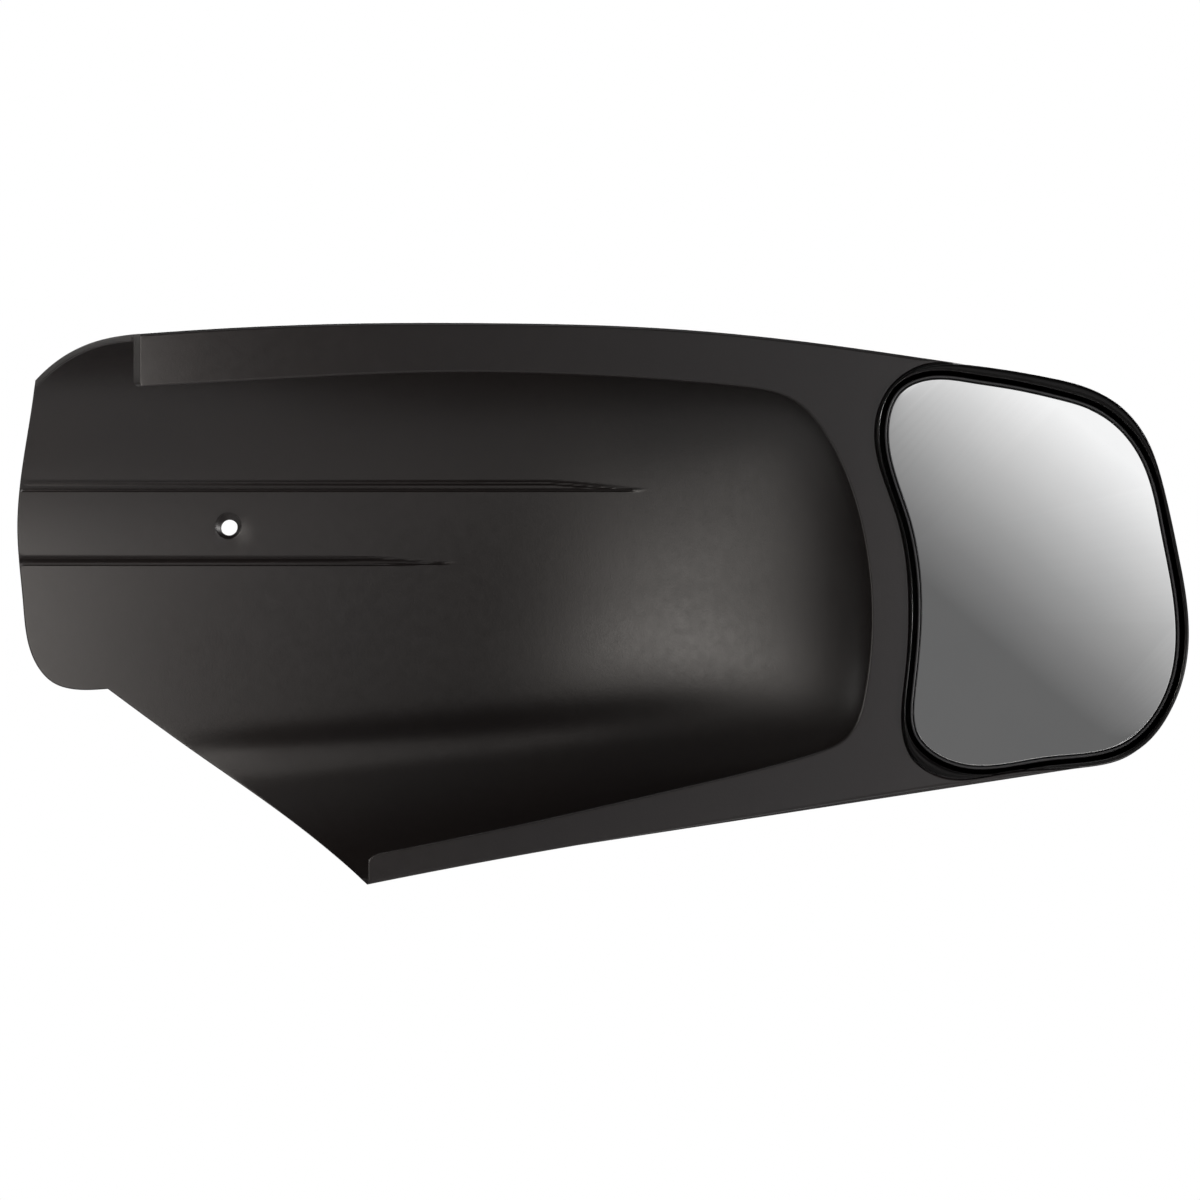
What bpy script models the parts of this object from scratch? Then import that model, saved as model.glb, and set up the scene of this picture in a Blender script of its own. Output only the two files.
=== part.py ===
"""Right-hand slip-on towing mirror: a moulded sleeve that slides over a pickup's own mirror.

A round-cornered head beside the sleeve holds a second glass further out.

Frame: +X outboard, +Y in the direction of travel, +Z up. The origin is the middle of the sleeve's opening,
in the inner face of the flat rear band that rests on the rim of the pickup's mirror.
All named sizes and all outlines are in millimetres, and MM turns them into metres.
An outline is a list of (x, z) points as seen from behind the truck.
"""

import math

import bmesh
import bpy
import numpy as np
from mathutils import Vector

MM = 0.001

# Housing walls
WALL = 2.5                      # moulded wall
BAND = 3.0                      # thickness of the flat rear band, from y = -BAND to y = 0
RIM_WALL = 1.6                  # head wall at the bezel
SEAT = 2.2                      # ledge under the bezel, from y = 0 forward

# Sleeve
SLEEVE_SQUARENESS = 2.4         # exponent of the section's superellipse along the sleeve
HEAD_SQUARENESS = 3.0           # the same for the head
SLEEVE_END = 161.0              # outboard end of the space for the pickup's mirror
END_WALL_START = 10.0           # from here outboard the end wall curves back to the band
POCKET_START = 118.0            # inboard end of the hollow behind the glass

# Head and its closure at the outboard tip
TIP = 273.9
TIP_ROUNDING_START = 205.0

# Glass and what holds it
PIVOT = (217.0, 1.5, 12.0)      # centre of the ball joint
GLASS_FACE = 0.0                # y of the reflecting face
GLASS_THICK = 3.0
PAD_THICK = 1.0
CARRIER_THICK = 2.5
LIP = 1.0                       # carrier's lip around the glass
GAP = 0.3                       # between touching pieces
GLASS_TO_BEZEL = 3.0            # glass edge to the bezel's inner edge
BEZEL_FACE = -4.6

# Ball joint, radii about PIVOT
DOME_OUTER = 17.0
DOME_INNER = 14.5
CUP_OUTER = DOME_INNER - GAP
CUP_INNER = 12.2
BOLT_HEAD_SPHERE = CUP_INNER - GAP
SEAT_SPHERE = DOME_OUTER + GAP
BOLT_RADIUS = 2.5
BASE_FRONT = 22.3               # y of the pivot base's forward face
BASE_SCREW_CIRCLE = 23.0
DOME_SCREW_CIRCLE = 21.5
DOME_SCREW_START = 38.0         # degrees from +X to the first dome screw

# Moulded channel and hole in the sleeve's front wall
CHANNEL_TOP = 43.6
CHANNEL_BOTTOM = 15.7
CHANNEL_DEPTH = 1.1
HOLE = (-78.7, 28.8)
HOLE_RADIUS = 3.1
HOLE_MOUTH_RADIUS = 4.6

SILHOUETTE = [
    (-190.0, 91.5), (-106.0, 99.3), (-40.0, 102.6), (20.0, 102.9), (80.0, 101.1), (146.0, 94.5),
    (212.0, 84.7), (234.0, 80.2), (248.0, 73.2), (258.0, 61.5), (264.8, 42.5), (270.7, 15.4), (TIP, -11.5),
    (270.9, -30.6), (262.0, -46.9), (250.0, -56.6), (234.0, -60.1), (190.0, -65.8), (124.0, -76.3),
    (58.0, -87.0), (-18.7, -101.1), (-60.0, -109.5), (-190.0, -134.0),
]

CAVITY = [
    (-200.0, 88.0), (-106.0, 96.7), (-40.0, 100.0), (20.0, 100.3), (62.0, 97.8), (100.0, 92.5), (124.0, 85.5),
    (141.0, 72.0), (151.5, 51.0), (158.0, 28.0), (SLEEVE_END, 2.0), (159.0, -29.0), (153.5, -46.5),
    (142.0, -56.5), (119.0, -66.0), (60.0, -81.5), (-18.7, -98.5), (-60.0, -107.0), (-200.0, -133.0),
]

OPENING_EDGE = [
    (-109.0, 79.6), (-51.6, 82.8), (3.0, 84.8), (58.2, 83.5), (109.5, 79.5), (128.6, 74.7), (142.5, 59.1),
    (153.3, 31.1), (157.5, 0.5), (155.2, -31.9), (149.3, -47.6), (134.1, -55.3), (89.7, -66.7),
    (22.3, -82.0), (-23.0, -91.2),
]

INBOARD_EDGE = [(-147.0, 130.0), (-149.2, 83.0), (-156.4, 27.0), (-154.4, 1.0), (-149.8, -21.6)]
ARM_CUTOUT = [
    (-142.8, -29.3), (-136.0, -31.4), (-123.1, -31.3), (-95.6, -51.4), (-51.6, -82.6), (-26.4, -103.3),
    (-12.0, -116.0),
]

GLASS = [
    (163.7, 64.6), (168.5, 77.6), (180.0, 82.4), (209.2, 78.7), (239.5, 70.7), (255.5, 55.0), (264.0, 26.3),
    (269.2, -6.0), (265.7, -32.0), (250.0, -51.0), (222.0, -56.2), (188.0, -57.9), (174.5, -47.5),
    (173.6, -32.0), (175.9, -2.0), (171.5, 31.5),
]

BEZEL = [
    (159.6, 64.0), (165.0, 79.0), (177.5, 87.1), (195.0, 87.4), (223.0, 82.9), (240.0, 77.9), (252.5, 68.9),
    (261.9, 52.0), (268.2, 27.0), (273.1, 1.0), (273.6, -17.0), (268.0, -37.5), (256.0, -52.9),
    (240.0, -59.0), (209.0, -61.0), (187.0, -63.5), (173.5, -56.5), (169.5, -44.0), (170.6, -28.0),
    (172.1, -2.0), (167.6, 32.5),
]


# ---------------------------------------------------------------- curves

def smooth_curve(points, closed=False, spacing=5.0):
    """Cubic spline through the points, sampled about every `spacing`."""
    knots_xy = np.array(points, dtype=float)
    if closed:
        knots_xy = np.vstack([knots_xy, knots_xy[:1]])
    gaps = np.linalg.norm(np.diff(knots_xy, axis=0), axis=1)
    slopes = np.diff(knots_xy, axis=0) / gaps[:, None]
    count = len(knots_xy)
    matrix = np.eye(count)
    right = np.zeros_like(knots_xy)
    for i in range(1, count - 1):
        matrix[i, i - 1:i + 2] = gaps[i - 1], 2 * (gaps[i - 1] + gaps[i]), gaps[i]
        right[i] = 6 * (slopes[i] - slopes[i - 1])
    if closed:
        matrix[0, -1] = -1.0
        matrix[-1, :2] = 2 * (gaps[-1] + gaps[0]), gaps[0]
        matrix[-1, -2:] = gaps[-1], 0.0
        right[-1] = 6 * (slopes[0] - slopes[-1])
    bends = np.linalg.solve(matrix, right)
    samples = []
    for i, gap in enumerate(gaps):
        steps = max(1, round(gap / spacing))
        for step in range(steps):
            far = step / steps
            near = 1 - far
            bend = ((near ** 3 - near) * bends[i] + (far ** 3 - far) * bends[i + 1]) * gap ** 2 / 6
            samples.append(near * knots_xy[i] + far * knots_xy[i + 1] + bend)
    if not closed:
        samples.append(knots_xy[-1])
    return np.array(samples)


def offset_curve(curve, distance, closed):
    """The curve moved sideways, away from the inside of a clockwise outline for a positive distance."""
    if closed:
        along = np.roll(curve, -1, axis=0) - np.roll(curve, 1, axis=0)
    else:
        along = np.gradient(curve, axis=0)
    along /= np.linalg.norm(along, axis=1)[:, None]
    outward = np.stack([-along[:, 1], along[:, 0]], axis=1)
    return curve + distance * outward


def branches(curve):
    """Top and bottom heights of an outline as functions of x, split at its outboard tip."""
    tip = int(np.argmax(curve[:, 0]))
    upper = curve[:tip + 1]
    lower = curve[tip:][::-1]

    def top(x):
        return float(np.interp(x, upper[:, 0], upper[:, 1]))

    def bottom(x):
        return float(np.interp(x, lower[:, 0], lower[:, 1]))

    return top, bottom


def round_off(x, start, end, exponent):
    """1 up to start, falling along a superellipse to 0 at end."""
    share = min(max((x - start) / (end - start), 0.0), 1.0)
    return (1 - share ** exponent) ** (1 / exponent)


def squareness(x):
    share = min(max((x - 60.0) / 130.0, 0.0), 1.0)
    return SLEEVE_SQUARENESS + (HEAD_SQUARENESS - SLEEVE_SQUARENESS) * share * share * (3 - 2 * share)


SILHOUETTE_CURVE = smooth_curve(SILHOUETTE)
CAVITY_CURVE = smooth_curve(CAVITY)
GLASS_CURVE = smooth_curve(GLASS, closed=True)
PLAN = smooth_curve([
    (-200.0, 82.0), (-110.0, 87.0), (-30.0, 88.5), (40.0, 83.0), (100.0, 70.5), (150.0, 59.0), (200.0, 51.0),
    (240.0, 48.5), (285.0, 48.0),
], spacing=2.0)


def full_depth(x):
    """How far forward the outside reaches, before the tip rounds it off."""
    return float(np.interp(x, PLAN[:, 0], PLAN[:, 1]))


def outer_depth(x):
    return full_depth(x) * round_off(x, TIP_ROUNDING_START, TIP, HEAD_SQUARENESS)


def pocket_depth(x):
    return (full_depth(x) - WALL) * round_off(x, TIP_ROUNDING_START, TIP - RIM_WALL, HEAD_SQUARENESS)


def cavity_depth(x, grow=0.0):
    closing = round_off(x, END_WALL_START, SLEEVE_END + grow, SLEEVE_SQUARENESS)
    return (full_depth(x) - WALL) * closing + grow


# ---------------------------------------------------------------- mesh helpers

def material(name, colour, roughness, metallic=0.0):
    made = bpy.data.materials.new(name)
    made.use_nodes = True
    shader = made.node_tree.nodes["Principled BSDF"]
    shader.inputs["Base Color"].default_value = (*colour, 1.0)
    shader.inputs["Roughness"].default_value = roughness
    shader.inputs["Metallic"].default_value = metallic
    made.diffuse_color = (*colour, 1.0)
    return made


def finish_mesh(name, mesh_maker, finish, smooth_angle=40.0):
    """An object from a filled bmesh in millimetres, with its faces pointing out."""
    bmesh.ops.recalc_face_normals(mesh_maker, faces=mesh_maker.faces)
    bmesh.ops.scale(mesh_maker, vec=(MM, MM, MM), verts=mesh_maker.verts)
    mesh = bpy.data.meshes.new(name)
    mesh_maker.to_mesh(mesh)
    mesh_maker.free()
    mesh.shade_smooth()
    mesh.set_sharp_from_angle(angle=math.radians(smooth_angle))
    made = bpy.data.objects.new(name, mesh)
    bpy.context.scene.collection.objects.link(made)
    if finish is not None:
        mesh.materials.append(finish)
    return made


def loft(name, rings, finish=None):
    """A solid through rings of equal length, with flat ends."""
    maker = bmesh.new()
    rows = [[maker.verts.new(point) for point in ring] for ring in rings]
    for row, following in zip(rows, rows[1:]):
        for i in range(len(row)):
            j = (i + 1) % len(row)
            maker.faces.new((row[i], row[j], following[j], following[i]))
    maker.faces.new(rows[0])
    maker.faces.new(rows[-1])
    return finish_mesh(name, maker, finish)


def plate(name, outline, low, high, finish=None):
    """An outline in the xz plane, extruded along y."""
    rings = [[(x, y, z) for x, z in outline] for y in (low, high)]
    return loft(name, rings, finish)


def ring_plate(name, outer, inner, low, high, finish=None):
    """A flat ring between two outlines with the same number of points."""
    maker = bmesh.new()
    loops = [[maker.verts.new((x, y, z)) for x, z in outline]
             for outline, y in ((outer, low), (outer, high), (inner, high), (inner, low))]
    count = len(outer)
    for loop, following in zip(loops, loops[1:] + loops[:1]):
        for i in range(count):
            j = (i + 1) % count
            maker.faces.new((loop[i], loop[j], following[j], following[i]))
    return finish_mesh(name, maker, finish)


def turned(name, profile, segments, finish=None):
    """A profile of (radius, height) turned about the local Z axis. Points on the axis close it."""
    maker = bmesh.new()
    rows = []
    for radius, height in profile:
        if radius == 0:
            rows.append([maker.verts.new((0, 0, height))] * segments)
            continue
        angles = [2 * math.pi * i / segments for i in range(segments)]
        rows.append([maker.verts.new((radius * math.cos(a), radius * math.sin(a), height)) for a in angles])
    pairs = list(zip(rows, rows[1:]))
    if profile[0][0] > 0:
        pairs.append((rows[-1], rows[0]))
    for row, following in pairs:
        for i in range(segments):
            j = (i + 1) % segments
            corners = []
            for corner in (row[i], row[j], following[j], following[i]):
                if corner not in corners:
                    corners.append(corner)
            if len(corners) > 2:
                maker.faces.new(corners)
    return finish_mesh(name, maker, finish)


def arc(radius, start_degrees, end_degrees, steps):
    """Points (radius from the axis, height) on a sphere about the origin, angles measured from the axis."""
    points = []
    for i in range(steps + 1):
        angle = math.radians(start_degrees + (end_degrees - start_degrees) * i / steps)
        points.append((radius * math.sin(angle), radius * math.cos(angle)))
    return points


def place(made, at=(0.0, 0.0, 0.0), parent=None, facing_forward=False):
    """Puts an object at a point in millimetres; facing_forward turns its local Z to +Y."""
    made.location = Vector(at) * MM
    if facing_forward:
        made.rotation_euler = (-math.pi / 2, 0.0, 0.0)
    made.parent = parent
    return made


def combine(target, tool, operation="DIFFERENCE"):
    """Cuts or joins with a hidden tool object."""
    tool.hide_render = True
    tool.display_type = "WIRE"
    modifier = target.modifiers.new(tool.name, "BOOLEAN")
    modifier.operation = operation
    modifier.solver = "EXACT"
    modifier.object = tool
    return target


def empty(name, at):
    made = bpy.data.objects.new(name, None)
    made.empty_display_size = 0.02
    made.location = Vector(at) * MM
    bpy.context.scene.collection.objects.link(made)
    return made


# ---------------------------------------------------------------- housing

def shell_section(x, top, bottom, depth, exponent, rear, lines=20):
    """One closed section: over the front from the top edge to the bottom edge, then back to the flat rear."""
    middle = (top + bottom) / 2
    half = (top - bottom) / 2
    lowest = max(rear, 0.0)
    ring = []
    for i in range(lines + 1):
        angle = math.pi * i / lines
        across = math.copysign(abs(math.cos(angle)) ** (2 / exponent), math.cos(angle))
        forward = abs(math.sin(angle)) ** (2 / exponent) if 0 < i < lines else 0.0
        ring.append((x, lowest + (depth - lowest) * forward, middle + half * across))
    if rear < 0:
        ring = [(x, rear, top)] + ring + [(x, rear, bottom)]
    return ring


def shell_solid(name, outline, depth, stations, rear, finish=None):
    top, bottom = branches(outline)
    rings = [shell_section(x, top(x), bottom(x), depth(x), squareness(x), rear) for x in stations]
    return loft(name, rings, finish)


def stations_to(start, end, even_until, step):
    """Section places: evenly spaced, then ever closer towards a rounded end."""
    count = round((even_until - start) / step)
    places = list(np.linspace(start, even_until, count + 1))
    left = end - even_until
    while left > 0.25:
        left *= 0.66
        places.append(end - left)
    return places


def front_wall_inside(x, z):
    """How far forward the inside of the front wall is."""
    top, bottom = branches(CAVITY_CURVE)
    middle = (top(x) + bottom(x)) / 2
    half = (top(x) - bottom(x)) / 2
    across = min(abs(z - middle) / half, 1.0)
    return cavity_depth(x) * (1 - across ** squareness(x)) ** (1 / squareness(x))


def front_wall_outside(x, z):
    """How far forward the outside of the front wall is."""
    top, bottom = branches(SILHOUETTE_CURVE)
    middle = (top(x) + bottom(x)) / 2
    half = (top(x) - bottom(x)) / 2
    return outer_depth(x) * (1 - abs((z - middle) / half) ** squareness(x)) ** (1 / squareness(x))


def channel_cutter():
    """Shallow channel in the front wall, fading out outboard: over a longer run at its upper edge."""
    rings = []
    for x in np.linspace(-175.0, 74.0, 22):
        floor = []
        for share in (0.0, 0.25, 0.5, 0.75, 1.0):
            z = CHANNEL_BOTTOM + (CHANNEL_TOP - CHANNEL_BOTTOM) * share
            fade_end = 3.7 + 70.0 * share
            fade = 1.0 - max(x + 150.0, 0.0) / (fade_end + 150.0)
            floor.append((x, front_wall_inside(x, z) + CHANNEL_DEPTH * fade - 0.02, z))
        roof = [(x, y - 4.0, z) for x, y, z in reversed(floor)]
        rings.append(floor + roof)
    return loft("channel_cutter", rings)


def make_housing(finish):
    outer_stations = stations_to(-180.0, TIP, 215.0, 15.0)
    housing = shell_solid("housing", SILHOUETTE_CURVE, outer_depth, outer_stations, -BAND, finish)

    cavity_stations = stations_to(-185.0, SLEEVE_END, 100.0, 15.0)
    combine(housing, shell_solid("sleeve_cutter", CAVITY_CURVE, cavity_depth, cavity_stations, 0.0))

    grown = offset_curve(CAVITY_CURVE, WALL, closed=False)
    grown_stations = stations_to(POCKET_START - 20.0, SLEEVE_END + WALL, POCKET_START - 5.0, 5.0)
    partition = shell_solid("partition_keeper", grown, lambda x: cavity_depth(x, WALL), grown_stations, -8.0)
    inner = offset_curve(SILHOUETTE_CURVE, -RIM_WALL, closed=False)
    pocket_stations = stations_to(POCKET_START, TIP - RIM_WALL, 215.0, 12.0)
    pocket = shell_solid("pocket_cutter", inner, pocket_depth, pocket_stations, SEAT)
    combine(pocket, partition)
    combine(housing, pocket)

    lip_end = OPENING_EDGE[-1]
    corner = [(-113.4, 130.0), (-113.4, 83.2), (-112.5, 80.7), (-110.9, 79.6)]
    edge = smooth_curve(OPENING_EDGE, spacing=7.0)
    lower_corner = [(lip_end[0] - 2.4, lip_end[1] - 0.9), (-26.7, lip_end[1] - 3.4), (-26.7, -140.0)]
    opening = corner + [tuple(point) for point in edge] + lower_corner + [(-210.0, -140.0), (-210.0, 130.0)]
    combine(housing, plate("opening_cutter", opening, -BAND - 4.0, 1.0))

    inboard = [tuple(point) for point in smooth_curve(INBOARD_EDGE, spacing=12.0)]
    diagonal = [tuple(point) for point in smooth_curve(ARM_CUTOUT[2:], spacing=16.0)]
    trim = inboard + ARM_CUTOUT[:2] + diagonal + [(-12.0, -150.0), (-230.0, -150.0), (-230.0, 130.0)]
    combine(housing, plate("trim_cutter", trim, -20.0, 120.0))

    top_trim = [(-110.3, -BAND - 0.1), (-150.4, 50.0), (-230.0, 155.0), (-230.0, -30.0), (-89.9, -30.0)]
    rings = [[(x, y, z) for x, y in top_trim] for z in (60.0, 130.0)]
    combine(housing, loft("top_wall_trim_cutter", rings))

    mouth = offset_curve(GLASS_CURVE, GLASS_TO_BEZEL + 0.2, closed=True)
    combine(housing, plate("mouth_cutter", mouth, -8.0, SEAT + 1.0))
    bezel = smooth_curve(BEZEL, closed=True)
    combine(housing, plate("bezel_rebate_cutter", offset_curve(bezel, GAP + 0.1, closed=True), -8.0, 0.0))

    combine(housing, channel_cutter())
    wall = front_wall_inside(*HOLE) + CHANNEL_DEPTH / 2
    mouth_profile = [(0, 6.0), (HOLE_RADIUS, 6.0), (HOLE_RADIUS, 1.6), (HOLE_MOUTH_RADIUS, 0.0),
                     (HOLE_MOUTH_RADIUS, -6.0), (0, -6.0)]
    hole = turned("hole_cutter", mouth_profile, 24)
    place(hole, (HOLE[0], wall, HOLE[1]), facing_forward=True)
    combine(housing, hole)

    for index, (x, z) in enumerate(base_screw_places()):
        length = front_wall_outside(x, z) - WALL / 2 - BASE_FRONT - GAP
        post = turned(f"post_{index + 1}_body", [(0, 0.0), (4.5, 0.0), (4.5, length), (0, length)], 20)
        place(post, (x, BASE_FRONT + GAP, z), facing_forward=True)
        combine(housing, post, "UNION")
    for index, (x, z) in enumerate(base_screw_places()):
        bore = turned(f"post_{index + 1}_bore", [(0, -5.0), (1.8, -5.0), (1.8, 10.5), (0, 10.5)], 16)
        place(bore, (x, BASE_FRONT + GAP, z), facing_forward=True)
        combine(housing, bore)
    return housing


# ---------------------------------------------------------------- mirror glass and carrier

def around_pivot(outline):
    """An outline measured from the ball joint's centre."""
    return [(x - PIVOT[0], z - PIVOT[2]) for x, z in outline]


def circle_places(radius, count, start_degrees):
    turns = [math.radians(start_degrees + 360.0 * i / count) for i in range(count)]
    return [(radius * math.cos(turn), radius * math.sin(turn)) for turn in turns]


def base_screw_places():
    return [(PIVOT[0] + x, PIVOT[2] + z) for x, z in circle_places(BASE_SCREW_CIRCLE, 4, 45.0)]


def make_glass_stack(pivot, finishes):
    glass = GLASS_CURVE
    face = GLASS_FACE - PIVOT[1]
    back = face + GLASS_THICK

    made = plate("mirror_glass", around_pivot(glass), face, back, finishes["glass"])
    bevel = made.modifiers.new("ground_edge", "BEVEL")
    bevel.width = 0.4 * MM
    bevel.limit_method = "ANGLE"
    bevel.angle_limit = math.radians(60)
    place(made, parent=pivot)

    pad_front = back + GAP
    stuck = around_pivot(offset_curve(glass, -5.0, closed=True))
    pad = plate("glass_pad", stuck, pad_front, pad_front + PAD_THICK, finishes["foam"])
    place(pad, parent=pivot)

    plate_front = pad_front + PAD_THICK + GAP
    plate_back = plate_front + CARRIER_THICK
    outer = offset_curve(glass, GAP + LIP, closed=True)
    carrier = plate("glass_carrier", around_pivot(outer), face - 0.2, plate_back, finishes["plastic"])
    within_lip = around_pivot(offset_curve(glass, GAP, closed=True))
    pan = plate("carrier_pan_cutter", within_lip, face - 5.0, plate_front)
    place(pan, parent=pivot)
    combine(carrier, pan)
    access = turned("carrier_access_cutter", [(0, 0.0), (12.5, 0.0), (12.5, 20.0), (0, 20.0)], 32)
    place(access, parent=pivot, facing_forward=True)
    combine(carrier, access)
    for index, (x, z) in enumerate(circle_places(DOME_SCREW_CIRCLE, 4, DOME_SCREW_START)):
        bore = turned(f"carrier_bore_{index + 1}", [(0, 0.0), (1.8, 0.0), (1.8, 20.0), (0, 20.0)], 16)
        place(bore, (x, 0.0, z), pivot, facing_forward=True)
        combine(carrier, bore)
    place(carrier, parent=pivot)
    return plate_back


def make_dome(pivot, plate_back, finishes):
    """Half of the ball joint that the carrier is screwed to."""
    low = plate_back + GAP
    high = low + 2.2
    outer_end = math.degrees(math.acos(high / DOME_OUTER))
    inner_end = math.degrees(math.acos(low / DOME_INNER))
    profile = arc(DOME_OUTER, 24.0, outer_end, 6)
    profile += [(26.0, high), (26.0, low)]
    profile += arc(DOME_INNER, inner_end, 24.0, 6)
    dome = turned("pivot_dome", profile, 30, finishes["plastic"])
    place(dome, parent=pivot, facing_forward=True)
    for index, (x, z) in enumerate(circle_places(DOME_SCREW_CIRCLE, 4, DOME_SCREW_START)):
        bore = turned(f"dome_bore_{index + 1}", [(0, 0.0), (1.8, 0.0), (1.8, 20.0), (0, 20.0)], 16)
        place(bore, (x, 0.0, z), pivot, facing_forward=True)
        combine(dome, bore)
        screw = make_screw(f"dome_screw_{index + 1}", 4.3, finishes["steel"])
        place(screw, (x, high + GAP, z), pivot, facing_forward=True)


def make_screw(name, length, finish):
    """Pan-head screw: local Z runs from the tip to the head, and the head's seat is at zero."""
    profile = [(0, -length), (1.5, -length), (1.5, 0.0), (3.2, 0.0), (3.2, 1.1), (2.3, 1.9), (0, 1.9)]
    return turned(name, profile, 16, finish)


# ---------------------------------------------------------------- ball joint in the housing

def make_joint_hardware(swivel, finishes):
    cup_profile = arc(CUP_OUTER, 20.0, 50.0, 5) + arc(CUP_INNER, 50.0, 21.5, 5)
    cup = turned("pivot_cup", cup_profile, 26, finishes["acetal"])
    place(cup, parent=swivel, facing_forward=True)

    base_top = BASE_FRONT - PIVOT[1]
    hole = math.degrees(math.asin(3.1 / SEAT_SPHERE))
    profile = arc(SEAT_SPHERE, hole, 45.0, 7)
    profile += [(14.8, profile[-1][1]), (16.8, base_top - 2.5), (27.5, base_top - 2.5), (27.5, base_top),
                (3.1, base_top)]
    base = turned("pivot_base", profile, 30, finishes["plastic"])
    place(base, PIVOT, facing_forward=True)
    for index, (x, z) in enumerate(base_screw_places()):
        bore = turned(f"base_bore_{index + 1}", [(0, -10.0), (1.8, -10.0), (1.8, 10.0), (0, 10.0)], 16)
        place(bore, (x, BASE_FRONT, z), facing_forward=True)
        combine(base, bore)
        screw = make_screw(f"base_screw_{index + 1}", 11.0, finishes["steel"])
        place(screw, (x, BASE_FRONT - 2.5 - GAP, z))
        screw.rotation_euler = (math.pi / 2, 0.0, 0.0)

    head_end = math.degrees(math.asin(6.5 / BOLT_HEAD_SPHERE))
    shank_start = math.degrees(math.asin(BOLT_RADIUS / BOLT_HEAD_SPHERE))
    bolt_end = 41.0 - PIVOT[1]
    profile = [(0, 7.3), (5.6, 7.3), (6.5, 8.2)] + arc(BOLT_HEAD_SPHERE, head_end, shank_start, 4)
    profile += [(BOLT_RADIUS, bolt_end - 0.6), (BOLT_RADIUS - 0.6, bolt_end), (0, bolt_end)]
    bolt = turned("pivot_bolt", profile, 28, finishes["steel"])
    place(bolt, PIVOT, facing_forward=True)
    socket = turned("bolt_socket_cutter", [(0, 0.0), (2.6, 0.0), (2.6, 9.2), (0, 9.2)], 6)
    place(socket, PIVOT, facing_forward=True)
    combine(bolt, socket)

    spring_start = BASE_FRONT + GAP
    spring_end = 34.2
    make_spring(spring_start, spring_end, finishes["steel"])
    washer_start = spring_end + GAP
    washer = turned("spring_washer", [(2.8, 0.0), (7.0, 0.0), (7.0, 1.1), (2.8, 1.1)], 28, finishes["steel"])
    place(washer, (PIVOT[0], washer_start, PIVOT[2]), facing_forward=True)
    nut_start = washer_start + 1.1 + GAP
    nut_place = (PIVOT[0], nut_start, PIVOT[2])
    nut = turned("pivot_nut", [(0, 0.0), (4.6, 0.0), (4.6, 4.0), (0, 4.0)], 6, finishes["steel"])
    place(nut, nut_place, facing_forward=True)
    bore = turned("nut_bore_cutter", [(0, -1.0), (2.8, -1.0), (2.8, 5.0), (0, 5.0)], 24)
    place(bore, nut_place, facing_forward=True)
    combine(nut, bore)


def make_spring(start, end, finish):
    """Compression spring around the bolt, as one round wire."""
    wire = 0.7
    coil = 4.9
    turns = 4.5
    steps = 72
    rings = []
    for step in range(steps + 1):
        turn = 2 * math.pi * turns * step / steps
        height = start + wire + (end - start - 2 * wire) * step / steps
        across = Vector((math.cos(turn), 0.0, math.sin(turn)))
        middle = Vector((PIVOT[0], height, PIVOT[2])) + coil * across
        ring = []
        for side in range(6):
            angle = 2 * math.pi * side / 6
            along = Vector((0.0, math.sin(angle), 0.0))
            ring.append(middle + wire * (math.cos(angle) * across + along))
        rings.append(ring)
    return loft("pivot_spring", rings, finish)


# ---------------------------------------------------------------- bezel and sleeve pads

def make_bezel(finish):
    outer = smooth_curve(BEZEL, closed=True, spacing=4.5)
    centre = np.array([PIVOT[0], PIVOT[2]])
    glass = smooth_curve(GLASS, closed=True, spacing=2.0)
    edge = offset_curve(glass, GLASS_TO_BEZEL, closed=True)
    turns = np.arctan2(edge[:, 1] - centre[1], edge[:, 0] - centre[0])
    reach = np.linalg.norm(edge - centre, axis=1)
    order = np.argsort(turns)
    inner = []
    for x, z in outer:
        turn = math.atan2(z - centre[1], x - centre[0])
        radius = np.interp(turn, turns[order], reach[order], period=2 * math.pi)
        inner.append((centre[0] + radius * math.cos(turn), centre[1] + radius * math.sin(turn)))
    return ring_plate("head_bezel", outer, inner, BEZEL_FACE, -GAP, finish)


def make_sleeve_pad(name, start, end, height, finish):
    """Foam strip stuck to the inner face of the rear band, between two (x, z) points."""
    run = Vector((end[0] - start[0], end[1] - start[1]))
    side = Vector((-run.y, run.x)).normalized() * height / 2
    corners = [(start[0] + side.x, start[1] + side.y), (end[0] + side.x, end[1] + side.y),
               (end[0] - side.x, end[1] - side.y), (start[0] - side.x, start[1] - side.y)]
    return plate(name, corners, GAP, GAP + 3.0, finish)


def main():
    for old in list(bpy.data.objects):
        bpy.data.objects.remove(old, do_unlink=True)

    finishes = {
        "shell": material("moulded_shell", (0.045, 0.038, 0.042), 0.5),
        "gloss": material("gloss_black", (0.008, 0.007, 0.007), 0.12),
        "glass": material("mirror_silver", (0.9, 0.9, 0.91), 0.02, 1.0),
        "foam": material("closed_cell_foam", (0.03, 0.03, 0.03), 0.9),
        "plastic": material("moulded_plastic", (0.03, 0.03, 0.032), 0.45),
        "acetal": material("acetal", (0.75, 0.74, 0.7), 0.4),
        "steel": material("zinc_steel", (0.6, 0.6, 0.62), 0.35, 1.0),
    }
    swivel = empty("swivel_pivot", PIVOT)
    pivot = empty("mirror_pivot", PIVOT)

    make_housing(finishes["shell"])
    make_bezel(finishes["gloss"])
    plate_back = make_glass_stack(pivot, finishes)
    make_dome(pivot, plate_back, finishes)
    make_joint_hardware(swivel, finishes)
    make_sleeve_pad("top_sleeve_pad", (-48.0, 90.8), (62.0, 91.5), 9.0, finishes["foam"])
    make_sleeve_pad("bottom_sleeve_pad", (12.0, -88.3), (72.0, -74.7), 4.0, finishes["foam"])


main()
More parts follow.
